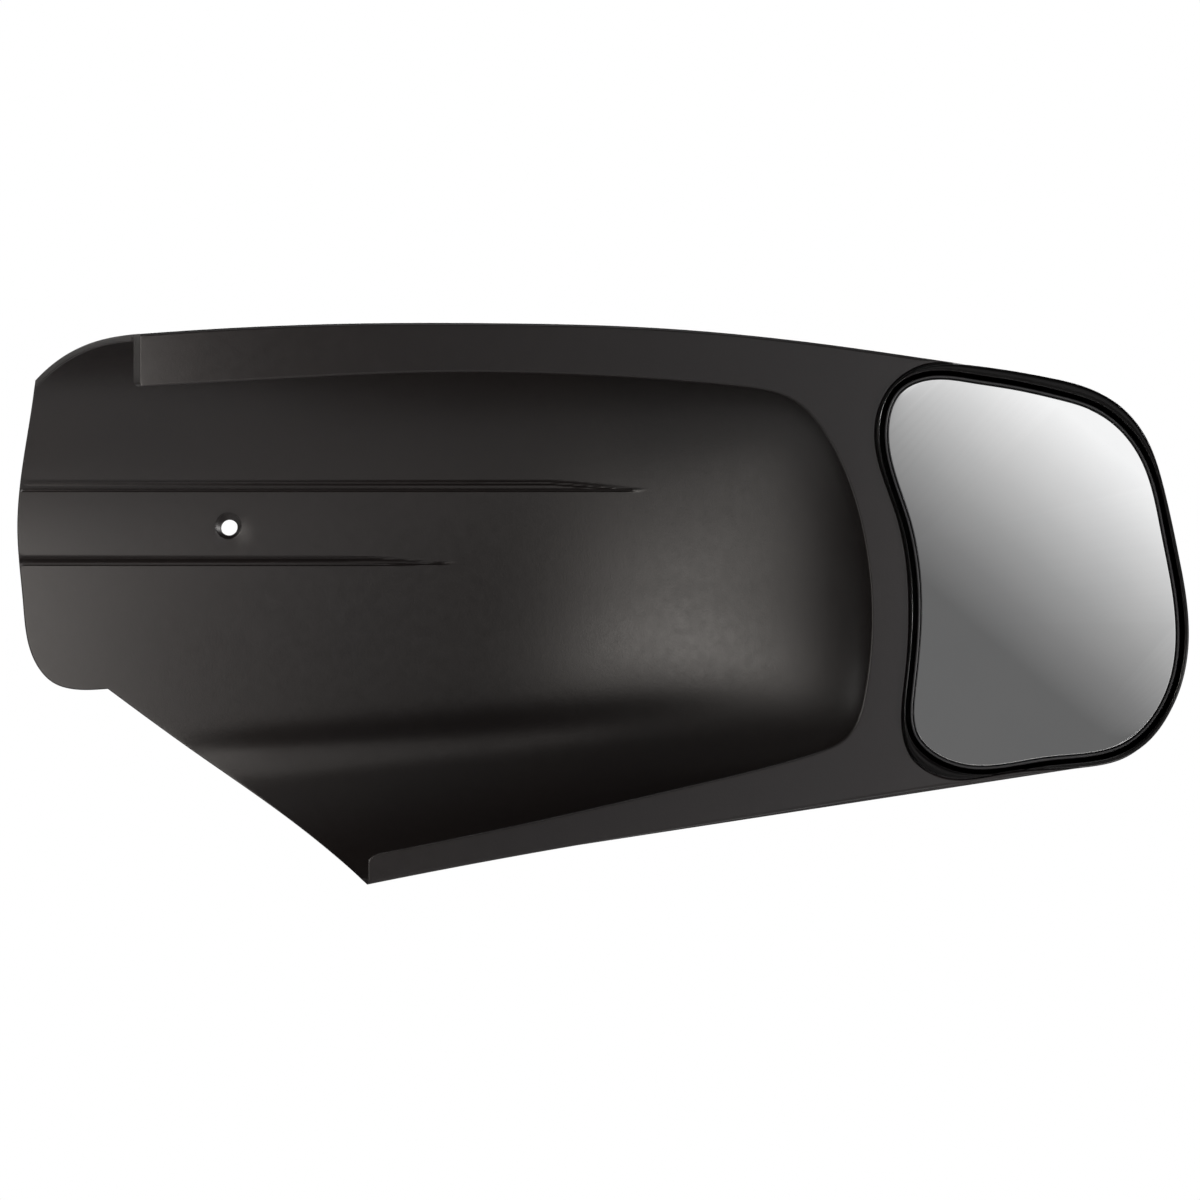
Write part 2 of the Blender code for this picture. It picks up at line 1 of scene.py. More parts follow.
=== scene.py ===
"""Looks of the slip-on towing mirror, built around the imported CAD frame.

The housing is rebuilt as one fine mesh: an outer and an inner wall surface, each triangulated in its own
unrolled plane, the flat rear band with rounded edges, and the cut edges of the wall between them.
All named sizes and outlines are in millimetres in the CAD frame, as in the part's source, and MM turns
them into metres. An outline is a list of (x, z) points as seen from behind the truck.
"""

import math

import bmesh
import bpy
import numpy as np
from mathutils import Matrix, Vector
from mathutils.geometry import delaunay_2d_cdt

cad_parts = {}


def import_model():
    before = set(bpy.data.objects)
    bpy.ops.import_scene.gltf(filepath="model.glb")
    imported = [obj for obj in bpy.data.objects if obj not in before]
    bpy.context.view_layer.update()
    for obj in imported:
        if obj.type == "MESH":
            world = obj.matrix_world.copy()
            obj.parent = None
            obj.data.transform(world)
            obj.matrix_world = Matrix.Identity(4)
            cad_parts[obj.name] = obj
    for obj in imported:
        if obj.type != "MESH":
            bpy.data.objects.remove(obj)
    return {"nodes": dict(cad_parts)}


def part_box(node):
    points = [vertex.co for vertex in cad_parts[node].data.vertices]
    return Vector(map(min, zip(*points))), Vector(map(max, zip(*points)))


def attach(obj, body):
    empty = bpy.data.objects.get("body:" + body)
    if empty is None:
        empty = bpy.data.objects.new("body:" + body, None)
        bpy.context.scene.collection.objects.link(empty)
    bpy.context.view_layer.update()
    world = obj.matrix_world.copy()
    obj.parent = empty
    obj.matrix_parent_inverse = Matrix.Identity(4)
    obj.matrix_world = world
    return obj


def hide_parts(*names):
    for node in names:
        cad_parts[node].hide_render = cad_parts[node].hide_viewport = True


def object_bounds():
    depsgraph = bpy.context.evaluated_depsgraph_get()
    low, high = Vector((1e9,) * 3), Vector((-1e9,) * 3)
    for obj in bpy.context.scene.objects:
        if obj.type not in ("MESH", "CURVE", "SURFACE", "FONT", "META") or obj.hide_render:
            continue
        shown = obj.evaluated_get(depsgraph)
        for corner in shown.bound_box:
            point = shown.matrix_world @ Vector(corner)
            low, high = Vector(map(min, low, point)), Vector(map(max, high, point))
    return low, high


MM = 0.001

# Housing walls, as in the CAD
WALL = 2.5                      # moulded wall
BAND = 3.0                      # rear band from y = -BAND to y = 0
RIM_WALL = 1.6                  # head wall at the bezel
SEAT = 2.2                      # ledge under the bezel, from y = 0 forward
SLEEVE_SQUARENESS = 2.4         # exponent of the section's superellipse along the sleeve
HEAD_SQUARENESS = 3.0           # the same for the head
SLEEVE_END = 161.0              # outboard end of the space for the pickup's mirror
END_WALL_START = 10.0           # from here outboard the end wall curves back to the band
POCKET_START = 118.0            # inboard end of the hollow behind the glass
TIP = 273.9
TIP_ROUNDING_START = 205.0
GAP = 0.3                       # clearance between pieces that are fitted together
GLASS_TO_BEZEL = 3.0
BEZEL_FACE = -4.6               # y of the bezel's crest
MOUTH_CLEARANCE = 0.2           # the mouth in the housing is wider than the bezel's inner edge by this
REBATE_CLEARANCE = 0.4          # the bezel's rebate is wider than the bezel by this

# Edge roundings
CUT_EDGE = 0.5
OPENING_EDGE_RADIUS = 1.0
SILHOUETTE_EDGE_RADIUS = 1.3
REBATE_EDGE_RADIUS = 0.9
END_EDGE_RADIUS = 0.6

# Spacing of mesh points
GRID = 2.2                      # over the wall surfaces
LINE = 1.6                      # along outlines
FINE_LINE = 1.3                 # along the outlines of the bezel, the glass and the carrier
FINE_STEP = 1.9                 # along the rows of points at the moulded lines
FINE_ROWS = 0.4                 # between those rows
WELD = 0.004                    # points nearer than this become one

# Behind the glass, as in the CAD
PIVOT = (217.0, 1.5, 12.0)      # centre of the ball joint
GLASS_THICK = 3.0
PAD_THICK = 1.0
CARRIER_THICK = 2.5
CARRIER_BORE = 12.5             # radius of the hole for the dome
SCREW_HOLE = 1.8                # radius of every screw hole
BASE_FRONT = 22.3               # y of the pivot base's forward face
BASE_SCREW_CIRCLE = 23.0        # radius
BASE_SCREW_TURNS = (45.0, 135.0, 225.0, 315.0)
DOME_SCREW_CIRCLE = 21.5
DOME_SCREW_TURNS = (38.0, 128.0, 218.0, 308.0)
POCKET_LEVELS = (SEAT + 0.3, 5.0, 9.0, 14.0, 19.0, 24.0, 29.0, 34.0, 38.0, 41.0, 43.5, 45.0)
POCKET_REACH = 170.0            # farther from the pivot than any part of the pocket

# Profiles, each a list of (distance, y) or (radius, y)
BOSS = [(0.01, 10.5), (1.8, 10.5), (1.8, 0.3), (2.1, 0.0), (4.0, 0.0), (4.5, 0.4), (4.7, 20.0), (7.5, 24.5)]
BEZEL_SECTION = [               # share of the way from the outer to the inner edge, and y
    (0.0, -GAP), (0.0, -2.0), (0.0, -3.4), (0.03, -3.9), (0.1, -4.25), (0.2, -4.46), (0.34, -4.58),
    (0.5, BEZEL_FACE), (0.66, -4.56), (0.8, -4.4), (0.91, -4.1), (0.98, -3.6), (1.0, -3.0), (1.0, -1.6),
    (1.0, -GAP),
]
GLASS_EDGE = [(0.55, 0.0), (0.3, 0.07), (0.1, 0.28), (0.0, 0.6), (0.0, 1.5), (0.0, 2.6), (0.12, 2.88),
              (0.4, GLASS_THICK)]

# Studio, in metres, degrees and watts
VIEW_CENTRE = (0.05824, 0.00147)
FRAME_WIDTH = 0.4395
CAMERA_DISTANCE = 14.0
ROOM_LIGHT = 0.05
FLOOR_DROP = 0.15               # the floor is this far under the object, which hangs on its truck
FLOOR_REACH = 2.0               # half the floor's side
CARD_SIZE = 0.42
CARD_DISTANCE = 0.5
CARD_SLANT = 49.8               # direction in which the card gets lighter, above the horizontal
CARD_DARK_AT = -0.026           # along that direction from the card's middle
CARD_LIGHT_AT = 0.059
CARD_GREYS = ((0.0, 0.130), (0.2, 0.216), (0.39, 0.335), (0.58, 0.491), (0.77, 0.68), (1.0, 0.956))
LIGHTS = (
    # Name, place, target, width, power, colour, height
    ("sleeve_box", (-0.16, -0.15, 0.01), (-0.16, 0.0, 0.01), 0.06, 0.27, (1.0, 0.95, 0.90), 0.22),
    ("left_box", (-0.68, -0.65, 0.21), (0.05, 0.0, 0.0), 0.16, 1.9, (1.0, 0.95, 0.90), 0.20),
    ("edge_box", (-1.00, 0.25, 0.30), (-0.10, 0.0, 0.0), 0.30, 1.5, (1.0, 0.98, 0.95), 0.30),
    ("right_box", (0.95, -0.42, -0.14), (0.05, 0.0, 0.0), 0.16, 5.8, (1.0, 0.98, 0.97), 0.20),
    ("front_box", (0.39, -0.93, -0.14), (0.05, 0.0, 0.0), 0.16, 1.4, (1.0, 0.97, 0.98), 0.20),
    ("top_box", (0.03, -0.30, 1.00), (0.05, 0.0, 0.0), 0.40, 1.4, (1.0, 1.0, 1.0), 0.40),
    ("back_box", (0.10, 1.40, 0.60), (0.05, 0.0, 0.0), 1.20, 16.0, (1.0, 1.0, 1.0), 0.80),
)

# Channel, its two pairs of moulded lines, and the hole in the sleeve's front wall
CHANNEL_TOP = 43.3
CHANNEL_BOTTOM = 15.6
CHANNEL_DEPTH = 1.0
FINE_LINES = [(40.4, 46.4, 79.0), (13.2, 18.4, 8.0)]     # (lowest z, highest z, outboard end)
HOLE = (-78.7, 28.8)
HOLE_EXIT = (-78.2, 27.9)       # centre of the hole in the outside of the wall
HOLE_RADIUS = 3.1
HOLE_MOUTH_RADIUS = 4.6
HOLE_MARGIN = 0.5               # from the mouth to the mesh around it
EXIT_MARGIN = 0.4

SILHOUETTE = [
    (-190.0, 91.5), (-106.0, 99.3), (-40.0, 102.6), (20.0, 102.9), (80.0, 101.1), (146.0, 94.5),
    (212.0, 84.7), (234.0, 80.2), (248.0, 73.2), (258.0, 61.5), (264.8, 42.5), (270.7, 15.4), (TIP, -11.5),
    (270.9, -30.6), (262.0, -46.9), (250.0, -56.6), (234.0, -60.1), (190.0, -65.8), (124.0, -76.3),
    (58.0, -87.0), (-18.7, -101.1), (-60.0, -109.5), (-190.0, -134.0),
]

CAVITY = [
    (-200.0, 88.0), (-106.0, 96.7), (-40.0, 100.0), (20.0, 100.3), (62.0, 97.8), (100.0, 92.5),
    (124.0, 85.5), (141.0, 72.0), (151.5, 51.0), (158.0, 28.0), (SLEEVE_END, 2.0), (159.0, -29.0),
    (153.5, -46.5), (142.0, -56.5), (119.0, -66.0), (60.0, -81.5), (-18.7, -98.5), (-60.0, -107.0),
    (-200.0, -133.0),
]

OPENING_EDGE = [
    (-109.0, 79.6), (-51.6, 82.8), (3.0, 84.8), (58.2, 83.5), (109.5, 79.5), (128.6, 74.7), (142.5, 59.1),
    (153.3, 31.1), (157.5, 0.5), (155.2, -31.9), (149.3, -47.6), (134.1, -55.3), (89.7, -66.7),
    (22.3, -82.0), (-23.0, -91.2),
]

INBOARD_EDGE = [
    (-147.0, 130.0), (-149.2, 83.0), (-156.4, 27.0), (-154.4, 1.0), (-149.8, -21.6), (-142.8, -29.3),
    (-136.0, -31.4), (-123.1, -31.3),
]
ARM_DIAGONAL = [(-123.1, -31.3), (-95.6, -51.4), (-51.6, -82.6), (-26.4, -103.3), (-12.0, -116.0)]
TOP_WALL_CUT = [(-110.3, -3.1), (-150.4, 50.0), (-230.0, 155.0)]     # (x, y), seen from above

BAND_TOP_END = -110.4           # x of the band's upper end at its rear face, and at y = 0
BAND_TOP_END_INNER = -112.6
BAND_BOTTOM_END = -26.7

GLASS = [
    (163.7, 64.6), (168.5, 77.6), (180.0, 82.4), (194.5, 81.2), (209.2, 78.9), (226.0, 75.2), (239.5, 70.7),
    (255.5, 55.0), (264.0, 26.3), (269.2, -6.0), (265.7, -32.0), (250.0, -51.0), (222.0, -56.2),
    (188.0, -57.9), (174.5, -47.5), (173.6, -32.0), (175.9, -2.0), (171.5, 31.5),
]

BEZEL = [
    (159.6, 64.0), (165.0, 79.0), (177.5, 87.1), (195.0, 87.4), (223.0, 82.9), (240.0, 77.9), (252.5, 68.9),
    (261.9, 52.0), (268.2, 27.0), (273.1, 1.0), (273.6, -17.0), (268.0, -37.5), (256.0, -52.9),
    (240.0, -59.0), (209.0, -61.0), (187.0, -63.5), (173.5, -56.5), (169.5, -44.0), (170.6, -28.0),
    (172.1, -2.0), (167.6, 32.5),
]

# How far forward the sleeve and the head reach, as (x, y)
PLAN = [
    (-200.0, 82.0), (-110.0, 87.0), (-30.0, 88.5), (40.0, 83.0), (100.0, 70.5), (150.0, 59.0), (200.0, 51.0),
    (240.0, 48.5), (285.0, 48.0),
]


# ---------------------------------------------------------------- curves in a plane

def smooth_curve(points, closed=False, spacing=LINE):
    """Cubic spline through the points, sampled about every `spacing`."""
    knots = np.array(points, dtype=float)
    if closed:
        knots = np.vstack([knots, knots[:1]])
    gaps = np.linalg.norm(np.diff(knots, axis=0), axis=1)
    slopes = np.diff(knots, axis=0) / gaps[:, None]
    count = len(knots)
    matrix = np.eye(count)
    right = np.zeros_like(knots)
    for i in range(1, count - 1):
        matrix[i, i - 1:i + 2] = gaps[i - 1], 2 * (gaps[i - 1] + gaps[i]), gaps[i]
        right[i] = 6 * (slopes[i] - slopes[i - 1])
    if closed:
        matrix[0, -1] = -1.0
        matrix[-1, :2] = 2 * (gaps[-1] + gaps[0]), gaps[0]
        matrix[-1, -2:] = gaps[-1], 0.0
        right[-1] = 6 * (slopes[0] - slopes[-1])
    bends = np.linalg.solve(matrix, right)
    samples = []
    for i, gap in enumerate(gaps):
        steps = max(1, round(gap / spacing))
        for step in range(steps):
            far = step / steps
            near = 1 - far
            bend = ((near ** 3 - near) * bends[i] + (far ** 3 - far) * bends[i + 1]) * gap ** 2 / 6
            samples.append(near * knots[i] + far * knots[i + 1] + bend)
    if not closed:
        samples.append(knots[-1])
    return np.array(samples)


def sideways(curve, closed):
    """Unit vectors to the left of the curve's direction, mitred so that an offset keeps its distance."""
    ahead = np.roll(curve, -1, axis=0) - curve
    ahead /= np.maximum(np.linalg.norm(ahead, axis=1), 1e-9)[:, None]
    behind = np.roll(ahead, 1, axis=0)
    if not closed:
        ahead[-1] = ahead[-2]
        behind[0] = ahead[0]
    total = ahead + behind
    total /= np.maximum(1.0 + (ahead * behind).sum(axis=1), 0.5)[:, None]
    return np.stack([-total[:, 1], total[:, 0]], axis=1)


def offset_curve(curve, distance, closed=True):
    """The curve moved to its left, which is outward on a clockwise outline."""
    return curve + distance * sideways(curve, closed)


def resample(curve, count):
    """The same open curve with `count` points, evenly spaced along it."""
    lengths = np.concatenate([[0.0], np.cumsum(np.linalg.norm(np.diff(curve, axis=0), axis=1))])
    places = np.linspace(0.0, lengths[-1], count)
    return np.stack([np.interp(places, lengths, curve[:, k]) for k in range(curve.shape[1])], axis=1)


def inside(points, polygon):
    """Which points lie inside a closed polygon."""
    found = np.zeros(len(points), dtype=bool)
    px, py = points[:, 0], points[:, 1]
    for (x0, y0), (x1, y1) in zip(polygon, np.roll(polygon, -1, axis=0)):
        if y0 == y1:
            continue
        crossing = ((y0 > py) != (y1 > py)) & (px < (x1 - x0) * (py - y0) / (y1 - y0) + x0)
        found ^= crossing
    return found


def distance_to(points, curve, closed=True):
    """Distance from each point to the nearest stretch of a curve."""
    best = np.full(len(points), 1e9)
    starts = curve if closed else curve[:-1]
    ends = np.roll(curve, -1, axis=0)[:len(starts)]
    for start, end in zip(starts, ends):
        run = end - start
        share = np.clip(((points - start) @ run) / max(run @ run, 1e-12), 0.0, 1.0)
        best = np.minimum(best, np.linalg.norm(points - start - share[:, None] * run, axis=1))
    return best


def smoothstep(value, low, high):
    share = np.clip((value - low) / (high - low), 0.0, 1.0)
    return share * share * (3 - 2 * share)


# ---------------------------------------------------------------- the housing's form

def round_off(x, start, end, exponent):
    share = np.clip((x - start) / (end - start), 0.0, 1.0)
    return (1 - share ** exponent) ** (1 / exponent)


def squareness(x):
    return SLEEVE_SQUARENESS + (HEAD_SQUARENESS - SLEEVE_SQUARENESS) * smoothstep(x, 60.0, 190.0)


PLAN_CURVE = smooth_curve(PLAN)


def full_depth(x):
    return np.interp(x, PLAN_CURVE[:, 0], PLAN_CURVE[:, 1])


def outer_depth(x):
    return full_depth(x) * round_off(x, TIP_ROUNDING_START, TIP, HEAD_SQUARENESS)


def cavity_depth(x):
    return (full_depth(x) - WALL) * round_off(x, END_WALL_START, SLEEVE_END, SLEEVE_SQUARENESS)


def pocket_depth(x):
    return (full_depth(x) - WALL) * round_off(x, TIP_ROUNDING_START, TIP - RIM_WALL, HEAD_SQUARENESS)


class Wall:
    """A surface through superellipse sections, and its unrolled plane.

    In the plane the first coordinate runs along the crown of the surface in plan, and the second one
    along a section, from the crown towards the top.
    """

    ANGLES = np.linspace(0.0, math.pi, 241)

    def __init__(self, outline, depth, relief=None):
        tip = int(np.argmax(outline[:, 0]))
        self.outline = outline
        self.tip = tip
        self.upper = outline[:tip + 1]
        self.lower = outline[tip:][::-1]
        self.depth = depth
        self.relief = relief
        near_tip = outline[tip, 0] - 60.0 * np.linspace(1.0, 0.0, 3000) ** 3
        self.crown_x = np.concatenate([np.arange(-200.0, near_tip[0], 1.0), near_tip])
        crown = np.stack([self.crown_x, depth(self.crown_x)], axis=1)
        steps = np.linalg.norm(np.diff(crown, axis=0), axis=1)
        self.crown_run = np.concatenate([[0.0], np.cumsum(steps)])

    def limits(self, x):
        top = np.interp(x, self.upper[:, 0], self.upper[:, 1])
        bottom = np.interp(x, self.lower[:, 0], self.lower[:, 1])
        return (top + bottom) / 2, np.maximum((top - bottom) / 2, 1e-6)

    def bare_point(self, x, angle):
        middle, half = self.limits(x)
        power = 2 / squareness(x)
        cosine = np.cos(angle)
        y = self.depth(x) * np.abs(np.sin(angle)) ** power
        y = np.where((angle < 1e-6) | (angle > math.pi - 1e-6), 0.0, y)
        z = middle + half * np.sign(cosine) * np.abs(cosine) ** power
        return x, y, z

    def point(self, x, angle):
        x, y, z = self.bare_point(x, angle)
        if self.relief is not None:
            y = y + self.relief(x, z) * smoothstep(y, 1.0, 12.0)
        return np.stack([x, y, z], axis=-1)

    def angle_at_height(self, x, z):
        middle, half = self.limits(x)
        across = np.clip((z - middle) / half, -1.0, 1.0)
        return np.arccos(np.sign(across) * np.abs(across) ** (squareness(x) / 2))

    def angle_at_depth(self, x, y):
        """On the upper half of the section."""
        share = np.clip(y / self.depth(x), 0.0, 1.0)
        return np.arcsin(share ** (squareness(x) / 2))

    def front(self, x, z):
        """How far forward the surface is at a place seen from behind."""
        return self.point(x, self.angle_at_height(x, z))[..., 1]

    def section_runs(self, x):
        _, y, z = self.bare_point(np.asarray(x)[:, None], self.ANGLES[None, :])
        steps = np.hypot(np.diff(y, axis=1), np.diff(z, axis=1))
        runs = np.concatenate([np.zeros((len(x), 1)), np.cumsum(steps, axis=1)], axis=1)
        crown = runs[:, len(self.ANGLES) // 2]
        return crown[:, None] - runs

    def unroll(self, x, angle):
        """(x, angle) to the unrolled plane."""
        runs = self.section_runs(x)
        across = np.array([np.interp(a, self.ANGLES, row) for a, row in zip(angle, runs)])
        return np.stack([np.interp(x, self.crown_x, self.crown_run), across], axis=1)

    def roll(self, flat):
        """The unrolled plane back to (x, angle)."""
        x = np.interp(flat[:, 0], self.crown_run, self.crown_x)
        runs = self.section_runs(x)
        angle = np.array([np.interp(-across, -row, self.ANGLES) for across, row in zip(flat[:, 1], runs)])
        return x, angle


def channel_relief(x, z):
    """How much further forward the inside of the sleeve's front wall is than the plain form."""
    reach = CHANNEL_DEPTH * (1 - smoothstep(x, -120.0, 40.0) * 0.999)
    above_bottom = smoothstep(z, CHANNEL_BOTTOM - 1.2, CHANNEL_BOTTOM + 1.2)
    below_top = 1 - smoothstep(z, CHANNEL_TOP - 1.2, CHANNEL_TOP + 1.2)
    return reach * above_bottom * below_top


def groove(z, centre, half_width, depth):
    return depth * (1 - smoothstep(np.abs(z - centre), 0.15 * half_width, half_width))


def line_relief(x, z):
    """Two pairs of moulded lines, a broad one over a fine one, which meet at their outboard end."""
    upper_drop = 2.6 * smoothstep(x, 38.0, 80.0) ** 0.8
    upper_fade = 1 - smoothstep(x, 50.0, 74.0)
    depth = groove(z, 44.6 - upper_drop, 0.4 + 0.65 * upper_fade, 0.12 + 0.65 * upper_fade)
    depth = np.maximum(depth, groove(z, 41.9, 0.65, 0.6))
    depth = depth * (1 - smoothstep(x, 69.0, 75.0))
    lower_drop = 1.3 * smoothstep(x, -28.0, 4.0)
    lower_fade = 1 - smoothstep(x, -40.0, 4.0)
    lower = groove(z, 16.8 - lower_drop, 0.4 + 0.6 * lower_fade, 0.12 + 0.55 * lower_fade)
    lower = np.maximum(lower, groove(z, 14.5 + 0.6 * lower_drop / 1.3, 0.6, 0.5))
    lower = lower * (1 - smoothstep(x, 0.0, 5.0))
    return depth + lower


def crease_relief(x, z):
    """Soft ridge where the sleeve's front wall turns down towards the arm."""
    height = -53.0 + 0.062 * (x + 60.0) + 0.00012 * (x + 60.0) ** 2
    away = (z - height) / 6.5
    strength = 2.0 * smoothstep(x, -125.0, -60.0) * (1 - smoothstep(x, -10.0, 125.0))
    return -strength * np.exp(-away * away)


def dimple_relief(x, z):
    away = np.hypot(x - (HOLE[0] + 1.6), z - (HOLE[1] - 1.8))
    return 0.55 * (1 - smoothstep(away, 2.0, 8.0))


def inner_relief(x, z):
    return channel_relief(x, z) + line_relief(x, z) + crease_relief(x, z) + dimple_relief(x, z)


# ---------------------------------------------------------------- mesh assembly

class Builder:
    """Collects points and faces in millimetres, and welds them into one mesh."""

    def __init__(self):
        self.points = []
        self.faces = []

    def add(self, points):
        start = len(self.points)
        self.points.extend(tuple(map(float, point)) for point in points)
        return start

    def surface(self, points, triangles, flip=False):
        start = self.add(points)
        for triangle in triangles:
            corners = [start + int(i) for i in triangle]
            self.faces.append(corners[::-1] if flip else corners)

    def strip(self, rows, closed=False):
        """Quads between consecutive rows of points."""
        count = len(rows[0])
        starts = [self.add(row) for row in rows]
        last = count if closed else count - 1
        for start, following in zip(starts, starts[1:]):
            for i in range(last):
                j = (i + 1) % count
                self.faces.append([start + i, start + j, following + j, following + i])

    def mesh(self, name, finish, smooth_angle=35.0):
        made = bmesh.new()
        corners = [made.verts.new(point) for point in self.points]
        for face in self.faces:
            try:
                made.faces.new([corners[i] for i in face])
            except ValueError:
                pass
        bmesh.ops.remove_doubles(made, verts=made.verts, dist=WELD)
        bmesh.ops.dissolve_degenerate(made, dist=WELD / 2, edges=made.edges)
        loose = [vert for vert in made.verts if not vert.link_faces]
        bmesh.ops.delete(made, geom=loose, context="VERTS")
        bmesh.ops.recalc_face_normals(made, faces=made.faces)
        bmesh.ops.scale(made, vec=(MM, MM, MM), verts=made.verts)
        mesh = bpy.data.meshes.new(name)
        made.to_mesh(mesh)
        made.free()
        mesh.shade_smooth()
        mesh.set_sharp_from_angle(angle=math.radians(smooth_angle))
        mesh.materials.append(finish)
        built = bpy.data.objects.new(name, mesh)
        bpy.context.scene.collection.objects.link(built)
        even = built.modifiers.new("even_shading", "WEIGHTED_NORMAL")
        even.mode = "FACE_AREA"
        even.weight = 50
        even.keep_sharp = True
        return built


def triangulate(loops, extra=()):
    """Triangles over the first loop, less the other loops, through the extra points."""
    points = np.vstack([*loops, extra]) if len(extra) else np.vstack(loops)
    edges = []
    start = 0
    for loop in loops:
        count = len(loop)
        edges += [(start + i, start + (i + 1) % count) for i in range(count)]
        start += count
    flat = [Vector((float(a), float(b))) for a, b in points]
    verts, _, faces, *_ = delaunay_2d_cdt(flat, edges, [], 0, 1e-7)
    verts = np.array([tuple(v) for v in verts])
    faces = np.array(faces)
    centres = verts[faces].mean(axis=1)
    keep = inside(centres, loops[0])
    for hole in loops[1:]:
        keep &= ~inside(centres, hole)
    return verts, faces[keep]


def on_y(flat, y):
    return np.stack([flat[:, 0], np.full(len(flat), float(y)), flat[:, 1]], axis=1)


# ---------------------------------------------------------------- housing

def arc_steps(count):
    return [math.pi / 2 * i / count for i in range(count + 1)]


class Cut:
    """The trimmed edge of one wall surface, from the upper end of the band round to its lower end."""

    COUNTS = (44, 96, 70)       # points along the top wall, the inboard edge and the diagonal
    TAPER = 6                   # the edge's rounding grows over this many points at each end

    def __init__(self, wall):
        cut = np.array(TOP_WALL_CUT)
        depths = np.linspace(0.0, 75.0, 1500)
        xs = np.interp(depths, cut[:, 1], cut[:, 0])
        angles = wall.angle_at_depth(xs, depths)
        heights = wall.bare_point(xs, angles)[2]
        inboard = smooth_curve(INBOARD_EDGE, spacing=0.4)
        upper = inboard[inboard[:, 1] > 20.0][::-1]
        end = int(np.argmax(xs <= np.interp(heights, upper[:, 1], upper[:, 0])))
        along_top = resample(np.stack([xs[:end], depths[:end], heights[:end]], axis=1), self.COUNTS[0])

        start = int(np.argmax(inboard[:, 1] <= heights[end]))
        side = resample(inboard[start:], self.COUNTS[1])[1:]
        diagonal = smooth_curve(ARM_DIAGONAL, spacing=0.2)
        middle, half = wall.limits(diagonal[:, 0])
        stop = int(np.argmax(diagonal[:, 1] <= middle - half))
        lower = resample(diagonal[:stop + 1], self.COUNTS[2])[1:]
        trimmed = np.vstack([side, lower])
        self.x = np.concatenate([along_top[:, 0], trimmed[:, 0]])
        self.angle = np.concatenate([
            wall.angle_at_depth(along_top[:, 0], along_top[:, 1]),
            wall.angle_at_height(trimmed[:, 0], trimmed[:, 1]),
        ])
        self.angle[0] = 0.0
        self.angle[-1] = math.pi
        flat = wall.unroll(self.x, self.angle)
        order = np.arange(len(flat))
        self.reach = CUT_EDGE * np.clip(np.minimum(order, order[::-1]) / self.TAPER, 0, 1)
        self.inset_x, self.inset_angle = wall.roll(flat + self.reach[:, None] * sideways(flat, closed=False))
        for end_index in (0, -1):
            self.inset_x[end_index] = self.x[end_index]
            self.inset_angle[end_index] = self.angle[end_index]
        self.inset_flat = wall.unroll(self.inset_x, self.inset_angle)
        self.corner = wall.point(self.x, self.angle)
        self.inset = wall.point(self.inset_x, self.inset_angle)


def wall_surface(builder, wall, cut, hole, fine_lines, flip):
    """One wall surface, through a grid in its unrolled plane and finer lines where it has moulded lines."""
    lower_x = wall.lower[wall.lower[:, 0] > cut.x[-1] + 0.3][:, 0]
    upper_x = wall.upper[wall.upper[:, 0] > cut.x[0] + 0.3][:-1, 0][::-1]
    xs = np.concatenate([cut.inset_x, lower_x, upper_x])
    angles = np.concatenate([cut.inset_angle, np.full(len(lower_x), math.pi), np.zeros(len(upper_x))])
    loop = wall.unroll(xs, angles)
    hole_angle = wall.angle_at_height(hole[:, 0], hole[:, 1])
    hole_flat = wall.unroll(hole[:, 0], hole_angle)

    low, high = loop.min(axis=0), loop.max(axis=0)
    across, along = np.meshgrid(np.arange(low[0], high[0], GRID), np.arange(low[1], high[1], GRID))
    grid = np.stack([across.ravel(), along.ravel()], axis=1)
    grid = grid[inside(grid, loop)]
    grid_x, grid_angle = wall.roll(grid)
    heights = wall.bare_point(grid_x, grid_angle)[2]
    keep = np.ones(len(grid), dtype=bool)
    line_x, line_angle = [], []
    for z_low, z_high, x_end in fine_lines:
        keep &= ~((heights > z_low - 0.9) & (heights < z_high + 0.9) & (grid_x < x_end + 1.5))
        for z in np.arange(z_low, z_high + FINE_ROWS / 2, FINE_ROWS):
            places = np.arange(-158.0, x_end, FINE_STEP)
            line_x.append(places)
            line_angle.append(wall.angle_at_height(places, np.full(len(places), z)))
    points, point_x, point_angle = grid[keep], grid_x[keep], grid_angle[keep]
    if line_x:
        line_x, line_angle = np.concatenate(line_x), np.concatenate(line_angle)
        line_flat = wall.unroll(line_x, line_angle)
        within = inside(line_flat, loop)
        points = np.vstack([points, line_flat[within]])
        point_x = np.concatenate([point_x, line_x[within]])
        point_angle = np.concatenate([point_angle, line_angle[within]])
    clear = distance_to(points, loop) > 0.55 * LINE
    clear &= ~inside(points, hole_flat) & (distance_to(points, hole_flat) > 0.4)
    points = points[clear]
    verts, faces = triangulate([loop, hole_flat], points)
    used_x = np.concatenate([xs, hole[:, 0], point_x[clear]])
    used_angle = np.concatenate([angles, hole_angle, point_angle[clear]])
    if len(verts) != len(used_x):       # where points fell together
        used_x, used_angle = wall.roll(verts)
    builder.surface(wall.point(used_x, used_angle), faces, flip)


def circle(centre, radius, count=40):
    turns = np.linspace(0, 2 * math.pi, count, endpoint=False)
    return np.stack([centre[0] + radius * np.cos(turns), centre[1] + radius * np.sin(turns)], axis=1)


def around_pivot(radius, turn):
    """The place (x, z) at a distance from the pivot, with the turn in degrees."""
    return PIVOT[0] + radius * math.cos(math.radians(turn)), PIVOT[2] + radius * math.sin(math.radians(turn))


